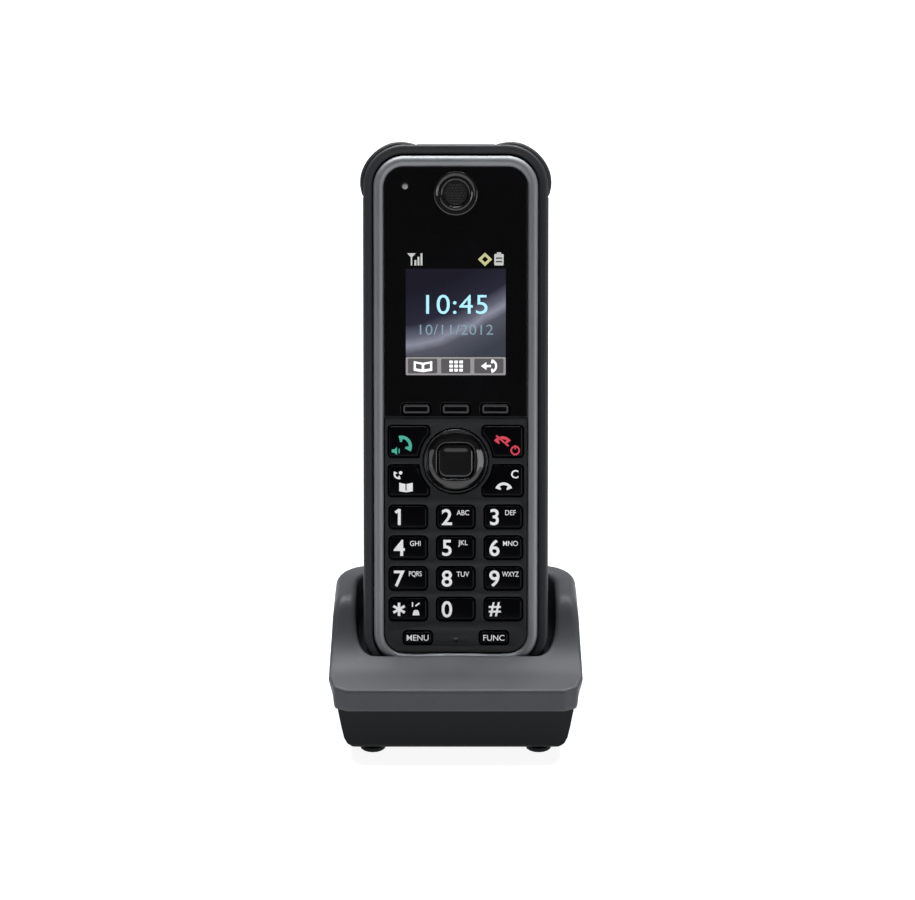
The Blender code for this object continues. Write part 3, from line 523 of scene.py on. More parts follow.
def make_bumpers():
    """Rubber corners that swell smoothly out of the shell and end flush with it."""
    inner, flush, most = 10.8, 11.55, 1.13     # radii: inner side, outer side at the ends, and how far it swells
    front, back = 2.8, 21.1
    for side, hand in ((-1, "left"), (1, "right")):
        rings = []
        stations = bumper_stations(side)
        for index, (x, z, dx, dz) in enumerate(stations):
            share = index / (len(stations) - 1)
            swell = min(1.0, 1.25 * math.sin(math.pi * share)) ** 0.6 if 0 < share < 1 else 0.0
            outer, reach = flush + most * swell, 0.9 * swell
            corner = 0.35 + 0.55 * swell
            section = rounded([(inner, front - reach, 0.1), (outer, front - reach, corner),
                               (outer, back + reach, corner), (inner, back + reach, 0.1)], 6)
            rings.append([(x + dx * radius, depth, z + dz * radius) for radius, depth in section])
        piece("corner_bumper_" + hand, loft(rings), HANDSET, BUMPER_RUBBER, "handset", ["bumper_" + hand],
              50.0)


def make_trim():
    """Grey bead round the face, with the plate behind the window."""
    turns = [math.radians(-86 + 172 * step / 16) for step in range(17)]
    arc = [(0.5 + 0.52 * math.sin(t), 1.35 * (1 - math.cos(t))) for t in turns]
    section = [(arc[0][0], 8.0)] + arc + [(arc[-1][0], 8.0)]
    bead = loft([at_depth(trim_outline(share), depth) for share, depth in section], closed=True)
    inner = TRIM_WIDTH / 2 - TRIM_SIDE + 0.05
    low, high = FACE_SPLIT - GAP, TRIM_HIGH - TRIM_END + 0.05
    web = rounded([(-inner, low, 0.0), (inner, low, 0.0), (inner, high, 5.9), (-inner, high, 5.9)], 12)
    holes = [rectangle(33.4, 41.2, 0.6, (0.0, 102.5), 4), circle(6.8, RECEIVER_CENTRE), circle(1.15, LENS_CENTRE)]
    holes += [key_outline(name, 0.9) for name in SOFT_NAMES]
    mesh = joined([bead, plate([web] + holes, 2.6, 3.8, 0.05, 1)])
    piece("front_trim", mesh, HANDSET, TRIM_PAINT, "handset", ["front_case"], 40.0)


# -------------------------------- handset: keys

def side_key(name, grow):
    """Key beside the ring: straight outer sides, and an arc that follows the ring."""
    side, level = SIDE_NAMES[name]
    near, far = 1.2 - grow, 9.9 + grow
    inner, outer, arc = 7.5 - grow, 18.9 + grow, 10.6 - grow
    first, last = math.asin(near / arc), math.acos(inner / arc)
    soft = max(0.9 + grow, 0.1)
    corners = [(outer, near, soft), (outer, far, soft), (inner, far, soft)]
    corners += [(arc * math.cos(t), arc * math.sin(t), 0.0)
                for t in [last + (first - last) * step / 10 for step in range(11)]]
    return [(side * x, NAV_CENTRE[1] + level * z) for x, z in rounded(corners, 6)]


def straight_key(name, grow):
    (width, height, radius), centre = KEY_PLACES[name]
    return rectangle(width + 2 * grow, height + 2 * grow, radius + grow, centre, 8)


def key_places():
    places = {}
    for names, z in zip(DIAL_NAMES, DIAL_ROWS):
        for column, name in enumerate(names):
            places[name] = ((10.6, 6.4, 1.2), ((column - 1) * DIAL_PITCH_X, z))
    places["menu_key"] = ((8.0, 3.6, 0.9), (-10.75, 10.7))
    places["func_key"] = ((8.0, 3.6, 0.9), (10.75, 10.7))
    for column, name in enumerate(SOFT_NAMES):
        places[name] = ((8.0, 3.0, 0.9), ((column - 1) * 11.1, 75.3))
    return places


KEY_PLACES = key_places()


def key_outline(name, grow=0.0):
    if name in SIDE_NAMES:
        return side_key(name, grow)
    return straight_key(name, grow)


def key_cap(name, front, flange):
    """Cap with sloping shoulders, on the flange that keeps it in the case."""
    profile = [(0.6, 3.2), (0.6, flange), (0.0, flange), (0.0, front + 0.62), (-0.06, front + 0.42),
               (-0.2, front + 0.22), (-0.42, front + 0.07), (-0.7, front)]
    return loft([at_depth(key_outline(name, grow), depth) for grow, depth in profile])


def make_keys():
    for name in list(KEY_PLACES) + list(SIDE_NAMES):
        soft = name in SOFT_NAMES
        front, flange = (SOFT_FRONT, 2.6) if soft else (KEY_FRONT, 2.4)
        piece("cap_" + name, key_cap(name, front, flange), HANDSET, KEY_PLASTIC, name, [name],
              50.0)


def make_centre_key():
    width, height, radius = CENTRE_KEY
    profile = [(0.0, 3.1), (0.0, 1.0), (-0.08, 0.68), (-0.3, 0.42), (-0.65, 0.3), (-1.1, 0.33), (-1.7, 0.48),
               (-2.3, 0.56)]
    rings = []
    for grow, depth in profile:
        outline = rectangle(width + 2 * grow, height + 2 * grow, radius + grow, NAV_CENTRE, 12)
        rings.append(at_depth(outline, depth))
    piece("cap_centre_key", loft(rings), HANDSET, GLOSS_BLACK, "centre_key", ["centre_key"], 60.0)


def make_nav_ring():
    """Ring with a rounded rim and a crowned face, round the square hole of the centre key."""
    steps, rim = 160, 9.1
    inner = rectangle(CENTRE_KEY[0] + 2 * GAP, CENTRE_KEY[1] + 2 * GAP, CENTRE_KEY[2] + GAP, (0.0, 0.0), 24)
    section = [(0.0, 2.2), (0.0, 1.25), (0.02, 0.9), (0.05, 0.66), (0.09, 0.55), (0.14, 0.6), (0.18, 0.85),
               (0.22, 1.2), (0.26, 1.32), (0.32, 1.24), (0.45, 0.95), (0.6, 0.6), (0.74, 0.3), (0.85, 0.17),
               (0.93, 0.22), (0.98, 0.45), (1.0, 0.8), (1.0, 2.2)]
    rings = [[] for _ in section]
    for step in range(steps):
        angle = 2 * math.pi * step / steps
        reach = ray_reach(inner, angle)
        for ring, (share, depth) in zip(rings, section):
            radius = rim + (reach - rim) * share
            ring.append((NAV_CENTRE[0] + radius * math.cos(angle), depth, NAV_CENTRE[1] + radius * math.sin(angle)))
    piece("ring_four_way", loft(rings, closed=True), HANDSET, GLOSS_BLACK, "nav_ring", ["nav_ring"],
          60.0)


def ray_reach(outline, angle):
    """How far a closed outline is from the origin, which it encloses, in one direction."""
    dx, dy = math.cos(angle), math.sin(angle)
    best = 0.0
    for (ax, ay), (bx, by) in zip(outline, outline[1:] + outline[:1]):
        qx, qy = bx - ax, by - ay
        across = dx * qy - dy * qx
        if abs(across) < 1e-12:
            continue
        reach = (ax * qy - ay * qx) / across
        along = (ax * dy - ay * dx) / across
        if reach > 0 and -1e-6 <= along <= 1 + 1e-6:
            best = max(best, reach)
    return best


# -------------------------------- handset: face

def face_outline(low, high, low_corner, high_corner):
    side = FACE_WIDTH / 2
    return rounded([(-side, low, low_corner), (side, low, low_corner),
                    (side, high, high_corner), (-side, high, high_corner)], 12)


def make_window():
    holes = [circle(5.5, RECEIVER_CENTRE), circle(1.15, LENS_CENTRE, 24)]
    holes += [key_outline(name, GAP) for name in SOFT_NAMES]
    mesh = plate([face_outline(FACE_SPLIT + GAP / 2, FACE_HIGH, 0.6, FACE_CORNER)] + holes, FACE_FRONT, 2.3, 0.12)
    piece("gloss_window", mesh, HANDSET, WINDOW_BLACK, "handset", ["display_window"])


def make_panel():
    holes = [key_outline(name, GAP) for name in KEY_PLACES if name not in SOFT_NAMES]
    holes += [key_outline(name, GAP) for name in SIDE_NAMES]
    holes += [circle(9.4, NAV_CENTRE, 96), circle(0.6, (0.0, 10.1), 16)]
    mesh = plate([face_outline(FACE_LOW, FACE_SPLIT - GAP / 2, FACE_CORNER, 0.6)] + holes, FACE_FRONT, 2.1, 0.18)
    piece("keypad_panel", mesh, HANDSET, PANEL_PLASTIC, "handset", ["keypad_bezel"])


def make_receiver():
    """Earpiece ring, and the perforated disc inside it."""
    section = [(3.3, 2.4), (5.2, 2.4), (5.2, 0.95), (6.2, 0.9), (6.2, 0.5), (6.08, 0.26), (5.8, 0.12),
               (5.5, 0.16), (5.2, 0.4), (4.95, 0.62), (4.7, 0.6), (4.45, 0.4), (4.2, 0.32), (3.9, 0.45),
               (3.6, 0.8), (3.4, 1.3)]
    piece("earpiece_ring", turned(section, RECEIVER_CENTRE), HANDSET, GLOSS_BLACK, "handset",
          ["receiver_ring"], 60.0)
    x0, z0 = RECEIVER_CENTRE
    holes = []
    for row in range(-3, 4):
        for column in range(-3, 4):
            x, z = (column + row % 2 / 2) * 0.86, row * 0.75
            if math.hypot(x, z) < 2.7:
                holes.append(circle(0.24, (x0 + x, z0 + z), 12))
    mesh = plate([circle(3.45, RECEIVER_CENTRE)] + holes, 1.5, 2.0, 0.04, 1)
    piece("earpiece_mesh", mesh, HANDSET, BLACK_PLASTIC, "handset", angle=30.0)


# -------------------------------- legends and display

def receiver_symbol(radius, thickness, start, end, centre):
    """Telephone receiver: an arc with a thick block at each end."""
    outer, inner = [], []
    for step in range(25):
        share = step / 24
        angle = math.radians(start + (end - start) * share)
        thick = thickness * (2.0 if share < 0.2 or share > 0.8 else 1.0)
        outer.append((centre[0] + radius * math.cos(angle), centre[1] + radius * math.sin(angle)))
        inner.append((centre[0] + (radius - thick) * math.cos(angle), centre[1] + (radius - thick) * math.sin(angle)))
    return outer + inner[::-1]


def asterisk(radius, width, centre):
    points = []
    spread = math.atan(width / 2 / radius)
    for arm in range(6):
        angle = math.radians(90 + 60 * arm)
        for offset, reach in ((-math.pi / 6, width * 0.95), (-spread, radius), (spread, radius)):
            turn = angle + offset
            points.append((centre[0] + reach * math.cos(turn), centre[1] + reach * math.sin(turn)))
    return points


def ring_symbol(outer, inner, centre):
    return [circle(outer, centre, 32), circle(inner, centre, 32)]


def bar(width, height, centre, tilt=0.0):
    turn = math.radians(tilt)
    corners = [(-width / 2, -height / 2), (width / 2, -height / 2), (width / 2, height / 2), (-width / 2, height / 2)]
    return [(centre[0] + x * math.cos(turn) - y * math.sin(turn), centre[1] + x * math.sin(turn) + y * math.cos(turn))
            for x, y in corners]


def legend(key, meshes, ink):
    piece("legend__" + key, joined(meshes), HANDSET, ink, key, angle=30.0)


def mark(*outlines):
    """Symbol on the front of a key."""
    return stamp(list(outlines), KEY_FRONT)


def make_dial_legends():
    letters = {"key_2": "ABC", "key_3": "DEF", "key_4": "GHI", "key_5": "JKL", "key_6": "MNO", "key_7": "PQRS",
               "key_8": "TUV", "key_9": "WXYZ"}
    for name, (_, (x, z)) in KEY_PLACES.items():
        if not name.startswith("key_"):
            continue
        digit = name[4:]
        marks = []
        if digit == "star":
            bell = rounded([(x + 1.2, z - 1.7, 0.1), (x + 3.2, z - 1.7, 0.1), (x + 2.85, z - 0.2, 0.5),
                            (x + 1.55, z - 0.2, 0.5)], 4)
            marks += [mark(asterisk(1.9, 0.75, (x - 2.6, z))), mark(bar(0.35, 1.3, (x + 1.2, z + 1.35))),
                      mark(bar(1.5, 0.4, (x + 2.6, z + 1.35), 38.0)), mark(bell)]
        elif digit == "hash":
            marks.append(lettering("#", 4.0, (x - 2.4, z), KEY_FRONT, 0.09))
        else:
            marks.append(lettering(digit, 4.6, (x - 2.5, z), KEY_FRONT, 0.10))
        if digit == "1":
            marks.append(stamp([bar(1.5, 0.75, (x - 3.0, z + 1.7), 38.0)], KEY_FRONT + INK / 4))
        if name in letters:
            wide = 0.9 if len(letters[name]) < 4 else 0.76
            marks.append(lettering(letters[name], 1.5, (x + 2.0, z + 1.25), KEY_FRONT, 0.005, 1.0, wide))
        legend(name, marks, WHITE_INK)
    for name, text in (("menu_key", "MENU"), ("func_key", "FUNC")):
        centre = KEY_PLACES[name][1]
        legend(name, [lettering(text, 1.7, centre, KEY_FRONT, 0.015)], WHITE_INK)
    for name in SOFT_NAMES:
        outlines = [straight_key(name, -0.42), straight_key(name, -0.85)]
        legend(name, [stamp(outlines, SOFT_FRONT)], GREY_INK)


def make_side_legends():
    x, z = SIDE_LEGEND, NAV_CENTRE[1]
    speaker = [(-x - 3.6, z + 3.3), (-x - 2.9, z + 3.3), (-x - 2.1, z + 4.0), (-x - 2.1, z + 1.7),
               (-x - 2.9, z + 2.4), (-x - 3.6, z + 2.4)]
    legend("talk_key", [mark(receiver_symbol(3.0, 0.9, -30.0, 105.0, (-x - 0.9, z + 4.2))), mark(speaker),
                        mark(bar(0.3, 1.3, (-x - 1.5, z + 2.85)))], GREEN_INK)
    legend("off_key", [mark(receiver_symbol(2.9, 0.85, 35.0, 145.0, (x - 1.3, z + 4.1))),
                       mark(bar(4.6, 0.5, (x - 1.3, z + 5.7), -40.0)),
                       mark(*ring_symbol(1.35, 0.9, (x + 2.3, z + 3.0))),
                       mark(bar(0.4, 1.2, (x + 2.3, z + 3.9)))], RED_INK)
    pages = ((-1.9, -1.2), (0.0, -1.5), (1.9, -1.2), (1.9, 1.2), (0.0, 0.8), (-1.9, 1.2))
    book = [(-x + 0.4 + dx, z - 7.3 + dz) for dx, dz in pages]
    legend("message_key", [mark(book, bar(0.3, 1.7, (-x + 0.4, z - 7.4))),
                           mark(receiver_symbol(1.5, 0.5, 150.0, 290.0, (-x - 1.6, z - 3.6))),
                           mark(circle(0.5, (-x - 1.1, z - 3.3), 20))], WHITE_INK)
    legend("cancel_key", [lettering("C", 2.3, (x + 2.2, z - 3.7), KEY_FRONT, 0.07),
                          mark(receiver_symbol(2.5, 0.75, 20.0, 160.0, (x - 0.9, z - 8.5)))], WHITE_INK)


def display_picture():
    """Lit wallpaper of the display: an indigo sky over a pale diagonal sweep, from its own flat coordinates."""
    material = bpy.data.materials.new("display_picture")
    material.use_nodes = True
    tree = material.node_tree
    tree.nodes.clear()
    flat = add_node(tree, "ShaderNodeUVMap", uv_map="picture").outputs["UV"]
    axes = add_node(tree, "ShaderNodeSeparateXYZ", {0: flat}).outputs
    line = maths(tree, 'MULTIPLY_ADD', maths(tree, 'POWER', axes[0], 1.6), 0.48, 0.14)
    above = maths(tree, 'SUBTRACT', axes[1], line)
    haze = add_node(tree, "ShaderNodeTexNoise", {"Vector": flat, "Scale": 3.5, "Detail": 4.0}).outputs["Fac"]
    shifted = maths(tree, 'ADD', maths(tree, 'MULTIPLY_ADD', haze, 0.10, above), 0.35)
    sky = ramp(tree, shifted, [(0.0, (0.040, 0.048, 0.065)), (0.28, (0.085, 0.088, 0.115)),
                               (0.38, (0.25, 0.26, 0.33)), (0.47, (0.12, 0.125, 0.17)),
                               (0.62, (0.018, 0.018, 0.034)), (1.0, (0.0075, 0.0070, 0.0150))])
    shader = add_node(tree, "ShaderNodeBsdfPrincipled", {
        "Base Color": (0.004, 0.004, 0.006, 1.0), "Roughness": 0.06, "Emission Color": sky,
        "Emission Strength": 1.0})
    add_node(tree, "ShaderNodeOutputMaterial", {"Surface": shader.outputs[0]})
    return material


def flat_coordinates(mesh, low, high):
    """Flat coordinates from 0 to 1 across the front of a display layer, before it is put in place."""
    layer = mesh.uv_layers.new(name="picture")
    for loop in mesh.loops:
        x, _, z = mesh.vertices[loop.vertex_index].co
        layer.data[loop.index].uv = ((x - low[0]) / (high[0] - low[0]), (z - low[1]) / (high[1] - low[1]))


def lit_layer(name, mesh, light, colour, glow=0.8):
    piece(name, mesh, HANDSET, printed(light, colour, glow), "handset")


def make_display():
    """Layers of the lit display, each a little in front of the one before."""
    front = FACE_FRONT - 0.01
    sheet_front, sheet_back = front - 0.03, front + 0.03
    (width, height), level = SCREEN, SOFT_BAR_LEVEL
    sheet = plate([rectangle(width, height, 0.1, (0.0, SCREEN_LEVEL), 2)], sheet_front, sheet_back)
    flat_coordinates(sheet, (-width / 2, SCREEN_LEVEL - height / 2), (width / 2, SCREEN_LEVEL + height / 2))
    piece("display_wallpaper", sheet, HANDSET, display_picture(), "handset")
    strip = plate([rectangle(width, 5.1, 0.3, (0.0, level), 4)], sheet_front, sheet_back)
    lit_layer("display_soft_bar", strip, "soft_bar_light", (0.19, 0.18, 0.19))
    cells = [stamp([rectangle(8.2, 4.1, 0.3, (column * 9.3, level), 3)], sheet_front) for column in (-1, 0, 1)]
    lit_layer("display_soft_cells", joined(cells), "soft_cell_light", (0.055, 0.052, 0.055))
    depth = sheet_front - INK * 0.75
    icons = []
    cover = ((-2.6, -1.3), (0.0, -1.7), (2.6, -1.3), (2.6, 1.4), (0.0, 0.9), (-2.6, 1.4))
    page = ((0.35, -0.95), (2.0, -0.65), (2.0, 0.75), (0.35, 0.4))
    book = [(-9.2 + dx, level + dz) for dx, dz in cover]
    pages = [[(-9.2 + side * dx, level + dz) for dx, dz in page] for side in (-1, 1)]
    icons.append(stamp([book] + pages, depth))
    for row in (-1, 0, 1):
        for column in (-1, 0, 1):
            icons.append(stamp([rectangle(1.0, 0.8, 0.1, (0.1 + column * 1.4, level + row * 1.15), 2)], depth))
    icons.append(stamp([receiver_symbol(2.0, 0.55, -75.0, 75.0, (9.6, level))], depth))
    arrow = [(9.9, 87.1), (9.9, 87.7), (8.6, 87.7), (8.6, 88.5), (7.1, 87.4), (8.6, 86.3), (8.6, 87.1)]
    icons.append(stamp([arrow], depth))
    lit_layer("display_soft_icons", joined(icons), "icon_light", (0.75, 0.76, 0.78), 0.75)
    status = [stamp([[(-13.6, 119.0), (-11.2, 119.0), (-12.2, 117.9), (-12.2, 115.6), (-12.6, 115.6), (-12.6, 117.9)]],
                    front)]
    for step, rise in enumerate((1.5, 2.4, 3.4)):
        status.append(stamp([bar(0.55, rise, (-11.3 + step * 0.85, 115.6 + rise / 2))], front))
    cell = rectangle(2.6, 3.2, 0.25, (12.1, 117.2), 3)
    gaps = [bar(1.7, 0.35, (12.1, 117.2 + dz)) for dz in (-0.55, 0.45)]
    status += [stamp([cell] + gaps, front), stamp([bar(1.2, 0.4, (12.1, 119.05))], front)]
    lit_layer("display_status", joined(status), "status_light", (0.42, 0.43, 0.42), 0.5)
    diamond = [[(8.2 + size * dx, 117.3 + size * dz) for dx, dz in ((-1, 0), (0, -0.95), (1, 0), (0, 0.95))]
               for size in (2.0, 0.9)]
    lit_layer("display_badge", stamp(diamond, front), "badge_light", (0.42, 0.42, 0.20), 0.5)
    clock = lettering("10:45", 5.6, (0.3, 104.7), sheet_front, 0.0, 1.06, 1.08)
    lit_layer("display_clock", clock, "clock_light", (0.28, 0.56, 0.68))
    date = lettering("10/11/2012", 3.0, (0.2, 97.6), sheet_front, -0.02, 1.05, 1.1)
    lit_layer("display_date", date, "date_light", (0.13, 0.21, 0.26))


# -------------------------------- base

BASE_SIDE = 35.6
BASE_DEPTH = 57.5
LIP_LOW = 14.6
LIP_HIGH = 20.8
WING_TOP = 37.6
HEART = (0.0, 33.0)            # the rays of the base's skin start above this point
WELL_HEART = (0.0, 13.0)       # and those of the well's wall from this axis of the handset
WELL_CHEEK = 6.3               # radius of the well's front corners, seen from above
WELL_FLOOR = -0.3              # the well in the handset's frame
WELL_SIDE = 28.3
WELL_FRONT = -1.3
WELL_BACK = 27.3
WELL_CORNER = 13.0
WELL_EDGE = 9.6
BASE_WALL = 2.0                # between the outer and the inner skin
WELL_WALL = 1.8
INNER_TOP = 32.0               # the inner skin stays below this height
PLAN_STEPS = []                # how each side of the base's plan is divided, the same at every height
SHELF = rounded([(-9.0, LIP_HIGH - 1.3, 0.0), (18.0, 23.3, 22.0), (26.5, WING_TOP, 6.0), (70.0, WING_TOP, 0.0)], 12)


def shelf_height(y):
    for (y0, z0), (y1, z1) in zip(SHELF, SHELF[1:]):
        if y0 <= y <= y1:
            return z0 + (z1 - z0) * (y - y0) / (y1 - y0)
    return WING_TOP


def side_reach(z):
    """Half width of the base at a height."""
    stations = ((LIP_LOW, BASE_SIDE - 1.7), (19.6, BASE_SIDE - 0.25), (LIP_HIGH, BASE_SIDE - 0.02),
                (22.5, BASE_SIDE - 0.08), (32.0, BASE_SIDE - 0.7), (WING_TOP, BASE_SIDE - 1.5))
    for (z0, x0), (z1, x1) in zip(stations, stations[1:]):
        if z <= z1:
            return x0 + (x1 - x0) * (z - z0) / (z1 - z0)
    return stations[-1][1]


def plan_outline(z, inset):
    """Top view of the base at a height, with long sides divided into short steps."""
    side = side_reach(z) - inset
    rear = BASE_DEPTH - 5.0 * (z - LIP_LOW) / (WING_TOP - LIP_LOW) - inset
    facet = min(34.0 - 0.85 * inset, side - 0.15)
    half = [(30.4 - 0.27 * inset, inset, 2.4), (facet, 2.1 + 0.64 * inset, 1.9), (side, 7.5, 3.6),
            (side, rear, max(9.0 - inset, 1.0))]
    outline = rounded(mirrored(half), 10)
    after = outline[1:] + outline[:1]
    if not PLAN_STEPS:
        PLAN_STEPS.extend(max(1, round(math.dist(a, b) / 1.4)) for a, b in zip(outline, after))
    fine = []
    for (ax, ay), (bx, by), count in zip(outline, after, PLAN_STEPS):
        fine += [(ax + (bx - ax) * k / count, ay + (by - ay) * k / count) for k in range(count)]
    return fine


def well_side(x, y, z, grow):
    """Below zero inside the handset's well (handset frame), above zero outside it."""
    low, side = WELL_FLOOR - grow, WELL_SIDE + grow
    corner, edge = WELL_CORNER + grow, WELL_EDGE + grow
    reach = y - (WELL_BACK + grow - edge)
    inset = edge - math.sqrt(max(edge ** 2 - reach ** 2, 0.0)) if reach > 0 else 0.0
    beyond = max(WELL_FRONT - grow - y, y - WELL_BACK - grow)
    cheek = WELL_CHEEK + grow
    cheek_x, cheek_y = abs(x) - (side - cheek), cheek + WELL_FRONT - grow - y
    if cheek_x > 0 and cheek_y > 0:
        beyond = max(beyond, math.hypot(cheek_x, cheek_y) - cheek)
    dx = abs(x) - (side - corner)
    dz = (low + corner) - z
    if dx > 0 and dz > 0:
        distance = math.hypot(dx, dz) - (corner - inset)
    else:
        distance = max(dx, dz) - (corner - inset)
    return max(distance, beyond)


def crossing(test, inside, outside):
    """Distance at which a test turns from below zero to above it."""
    for _ in range(40):
        middle = (inside + outside) / 2
        if test(middle) < 0:
            inside = middle
        else:
            outside = middle
    return inside


def base_skin(inset, grow, cap):
    """Rings of the base's skin: up the side, over the edge, across the top, down the well to its floor.

    Inset is the distance inside the outer wall, grow the distance outside the well, cap the greatest height."""
    wall_rows, edge_rows, top_rows, mouth_rows, well_rows = 9, 7, 18, 4, 22
    rings = [[] for _ in range(wall_rows + edge_rows + top_rows + mouth_rows + well_rows)]
    walls = {}

    def wall_at(z):
        key = round(z, 2)
        if key not in walls:
            walls[key] = plan_outline(key, inset)
        return walls[key]

    def height(y):
        return min(shelf_height(y), cap) - inset

    for column in range(len(wall_at(LIP_LOW))):
        top_z = 30.0
        for _ in range(4):
            top_z = height(wall_at(top_z)[column][1])
        share = (top_z + inset - LIP_HIGH) / (WING_TOP - LIP_HIGH)
        radius = 0.8 + 2.6 * max(0.0, min(1.0, share)) ** 1.2
        shoulder = top_z - radius
        column_points = []
        for row in range(wall_rows):
            z = LIP_LOW + (shoulder - LIP_LOW) * row / (wall_rows - 1)
            x, y = wall_at(z)[column]
            column_points.append((x, y, z))
        edge_x, edge_y = wall_at(shoulder)[column]
        away = Vector((edge_x - HEART[0], edge_y - HEART[1]))
        ray = away.normalized()

        def on_top(distance):
            return HEART[0] + ray.x * distance, HEART[1] + ray.y * distance

        def well_test(distance):
            x, y = on_top(distance)
            return well_side(*(HANDSET_FROM_BASE @ Vector((x, y, height(y)))), grow)

        rim = crossing(well_test, 0.0, away.length - radius * 0.5)
        mouth = 0.8 + 0.9 * abs(ray.x)
        flat = away.length - radius
        for row in range(1, edge_rows + 1):
            turn = math.pi / 2 * row / edge_rows
            distance = away.length - radius * (1 - math.cos(turn))
            x, y = on_top(distance)
            column_points.append((x, y, height(y) - radius * (1 - math.sin(turn))))
        for row in range(1, top_rows + 1):
            distance = flat + (rim + mouth - flat) * row / top_rows
            x, y = on_top(distance)
            column_points.append((x, y, height(y)))
        for row in range(1, mouth_rows + 1):
            turn = math.pi / 2 * row / mouth_rows
            x, y = on_top(rim + mouth * (1 - math.sin(turn)))
            column_points.append((x, y, height(y) - mouth * (1 - math.cos(turn))))
        start = HANDSET_FROM_BASE @ Vector(column_points[-1])
        heading = math.atan2(start.y - WELL_HEART[1], start.x - WELL_HEART[0])
        floor = WELL_FLOOR - grow + 0.001
        for row in range(1, well_rows + 1):
            share = math.sin(math.pi / 2 * row / well_rows)
            level = start.z + (floor - start.z) * share

            def wall_test(distance):
                return well_side(WELL_HEART[0] + distance * math.cos(heading),
                                 WELL_HEART[1] + distance * math.sin(heading), level, grow)

            distance = crossing(wall_test, 0.0, 45.0)
            point = Vector((WELL_HEART[0] + distance * math.cos(heading),
                            WELL_HEART[1] + distance * math.sin(heading), level))
            column_points.append(tuple(BASE_FROM_HANDSET @ point))
        for ring, point in zip(rings, column_points):
            ring.append(point)
    return rings


def make_base_shell():
    """Upper shell of the base, with slots for the two charge contacts in the floor of its well."""
    outer = base_skin(0.0, 0.0, WING_TOP)
    inner = base_skin(BASE_WALL, WELL_WALL, INNER_TOP)
    shell = loft(list(reversed(outer)) + inner)
    slots = []
    for contact in (-CONTACT_SIDE, CONTACT_SIDE):
        slot = cuboid((contact - 1.4, 9.8, -4.0), (contact + 1.4, 13.6, 1.0))
        slot.transform(BASE_FROM_HANDSET)
        slots.append(slot)
    shell = combined(shell, slots)
    piece("base_shell", shell, BASE, BASE_PLASTIC, "cradle", ["cradle_upper_housing"], 40.0)


# -------------------------------- CAD nodes that stay

def dress_cad_nodes():
    """The CAD solids whose shape is right keep it, with softened edges and their own finish."""
    for subpart in frame["record"]["subparts"]:
        item = NODES[subpart["node"]]
        if item.hide_render:
            continue
        item.data.materials.clear()
        item.data.materials.append(CAD_LOOKS[subpart["material_slot"]])
        weld = item.modifiers.new("weld", 'WELD')
        weld.merge_threshold = 0.002 * MM
        soften = item.modifiers.new("soften", 'BEVEL')
        soften.width = 0.12 * MM
        soften.segments = 2
        soften.limit_method = 'ANGLE'
        soften.angle_limit = math.radians(40.0)
        item.data.shade_smooth()
        level = item.modifiers.new("level", 'WEIGHTED_NORMAL')
        level.weight = 100


# -------------------------------- stage

FLOOR_GLOW = 0.90              # the photo's background is pure white
WORLD_GLOW = 0.07
CAMERA_ELEVATION = 20.0
CAMERA_DISTANCE = 0.9073       # metres
CAMERA_LENS = 126.3
CAMERA_ASIDE = 0.49 * MM       # what the camera looks at, to the right of the middle
CAMERA_BELOW = 3.44 * MM       # and below it


def make_floor():
    """White floor, in metres, that is partly lit by itself."""
    mesh = loft([[(x, y, z) for x, y in ((-4.0, -4.0), (4.0, -4.0), (4.0, 6.0), (-4.0, 6.0))] for z in (-0.02, 0.0)])
    floor = bpy.data.objects.new("studio_floor", mesh)
    mesh.materials.append(surface("floor_look", (0.3, 0.3, 0.3), 0.8, spread=0.01, specular=0.0, wear=1.0, clouds=3.0))
    bpy.context.scene.collection.objects.link(floor)
    floor.location.z = CAD_LOW.z
    shader = mesh.materials[0].node_tree.nodes["Principled BSDF"]
    shader.inputs["Emission Color"].default_value = (1.0, 1.0, 1.0, 1.0)
    shader.inputs["Emission Strength"].default_value = FLOOR_GLOW


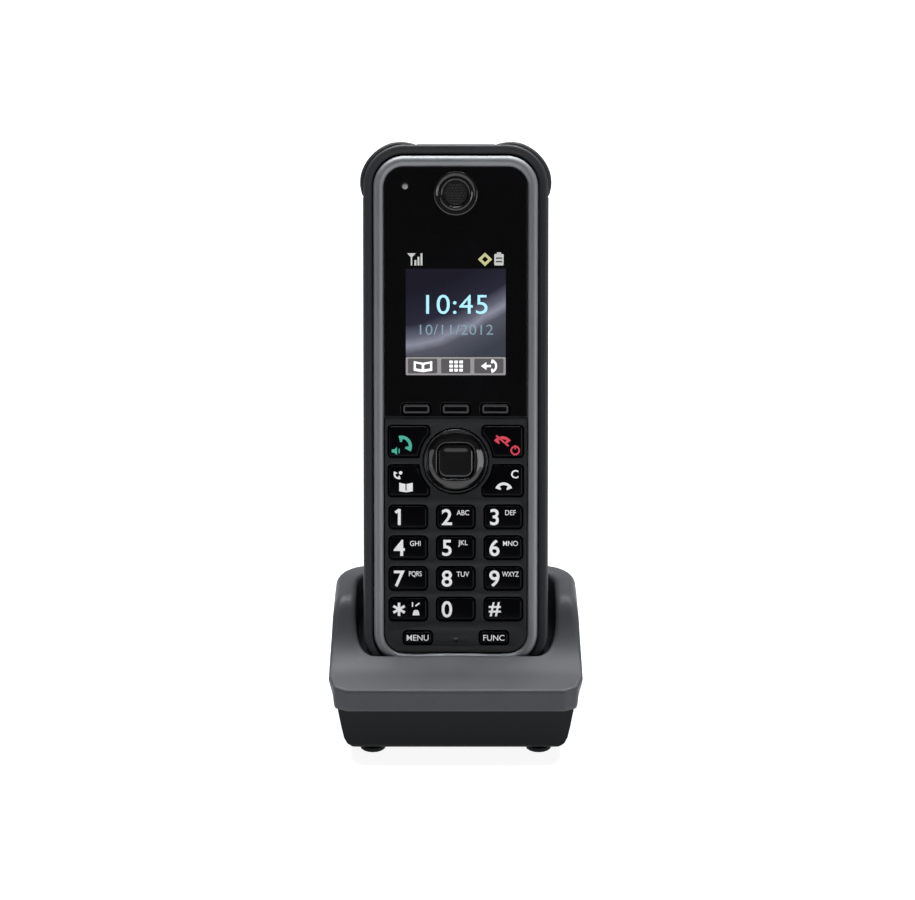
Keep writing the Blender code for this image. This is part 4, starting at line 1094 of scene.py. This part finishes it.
def aim(thing, target):
    thing.rotation_euler = (target - thing.location).to_track_quat('-Z', 'Y').to_euler()


def add_light(name, place, size, power, target):
    data = bpy.data.lights.new(name, 'AREA')
    data.shape = 'RECTANGLE'
    data.size, data.size_y = size
    data.energy = power
    light = bpy.data.objects.new(name, data)
    light.location = place
    aim(light, target)
    bpy.context.scene.collection.objects.link(light)


def make_lights(middle):
    add_light("rear_softbox", middle + Vector((0.0, 1.0, 1.15)), (1.9, 0.5), 2.5, middle)
    add_light("top_softbox", middle + Vector((0.0, 0.41, 1.22)), (1.2, 0.4), 48.0, middle)
    add_light("right_softbox", middle + Vector((0.95, -0.65, 0.12)), (0.6, 0.5), 4.0, middle)
    add_light("left_softbox", middle + Vector((-1.1, -0.50, 0.12)), (0.35, 0.5), 0.9, middle)
    world = bpy.data.worlds.new("studio")
    world.use_nodes = True
    background = world.node_tree.nodes["Background"]
    background.inputs["Color"].default_value = (1.0, 1.0, 1.0, 1.0)
    background.inputs["Strength"].default_value = WORLD_GLOW
    bpy.context.scene.world = world


def make_camera(middle):
    """Slightly above the phone, straight in front, with a long lens."""
    elevation = math.radians(CAMERA_ELEVATION)
    forward = Vector((0.0, math.cos(elevation), -math.sin(elevation)))
    upward = Vector((0.0, math.sin(elevation), math.cos(elevation)))
    data = bpy.data.cameras.new("camera")
    data.lens = CAMERA_LENS
    data.sensor_width = 36.0
    data.clip_end = 50.0
    camera = bpy.data.objects.new("camera", data)
    target = middle + Vector((CAMERA_ASIDE, 0.0, 0.0)) - upward * CAMERA_BELOW
    camera.location = target - forward * CAMERA_DISTANCE
    aim(camera, target)
    bpy.context.scene.collection.objects.link(camera)
    bpy.context.scene.camera = camera


make_trim()
make_back_shell()
make_bumpers()
make_window()
make_panel()
make_receiver()
make_keys()
make_centre_key()
make_nav_ring()
make_dial_legends()
make_side_legends()
make_display()
make_base_shell()
dress_cad_nodes()

centre = (CAD_LOW + CAD_HIGH) / 2
make_floor()
make_lights(centre)
make_camera(centre)
bpy.context.scene.view_settings.view_transform = 'Standard'
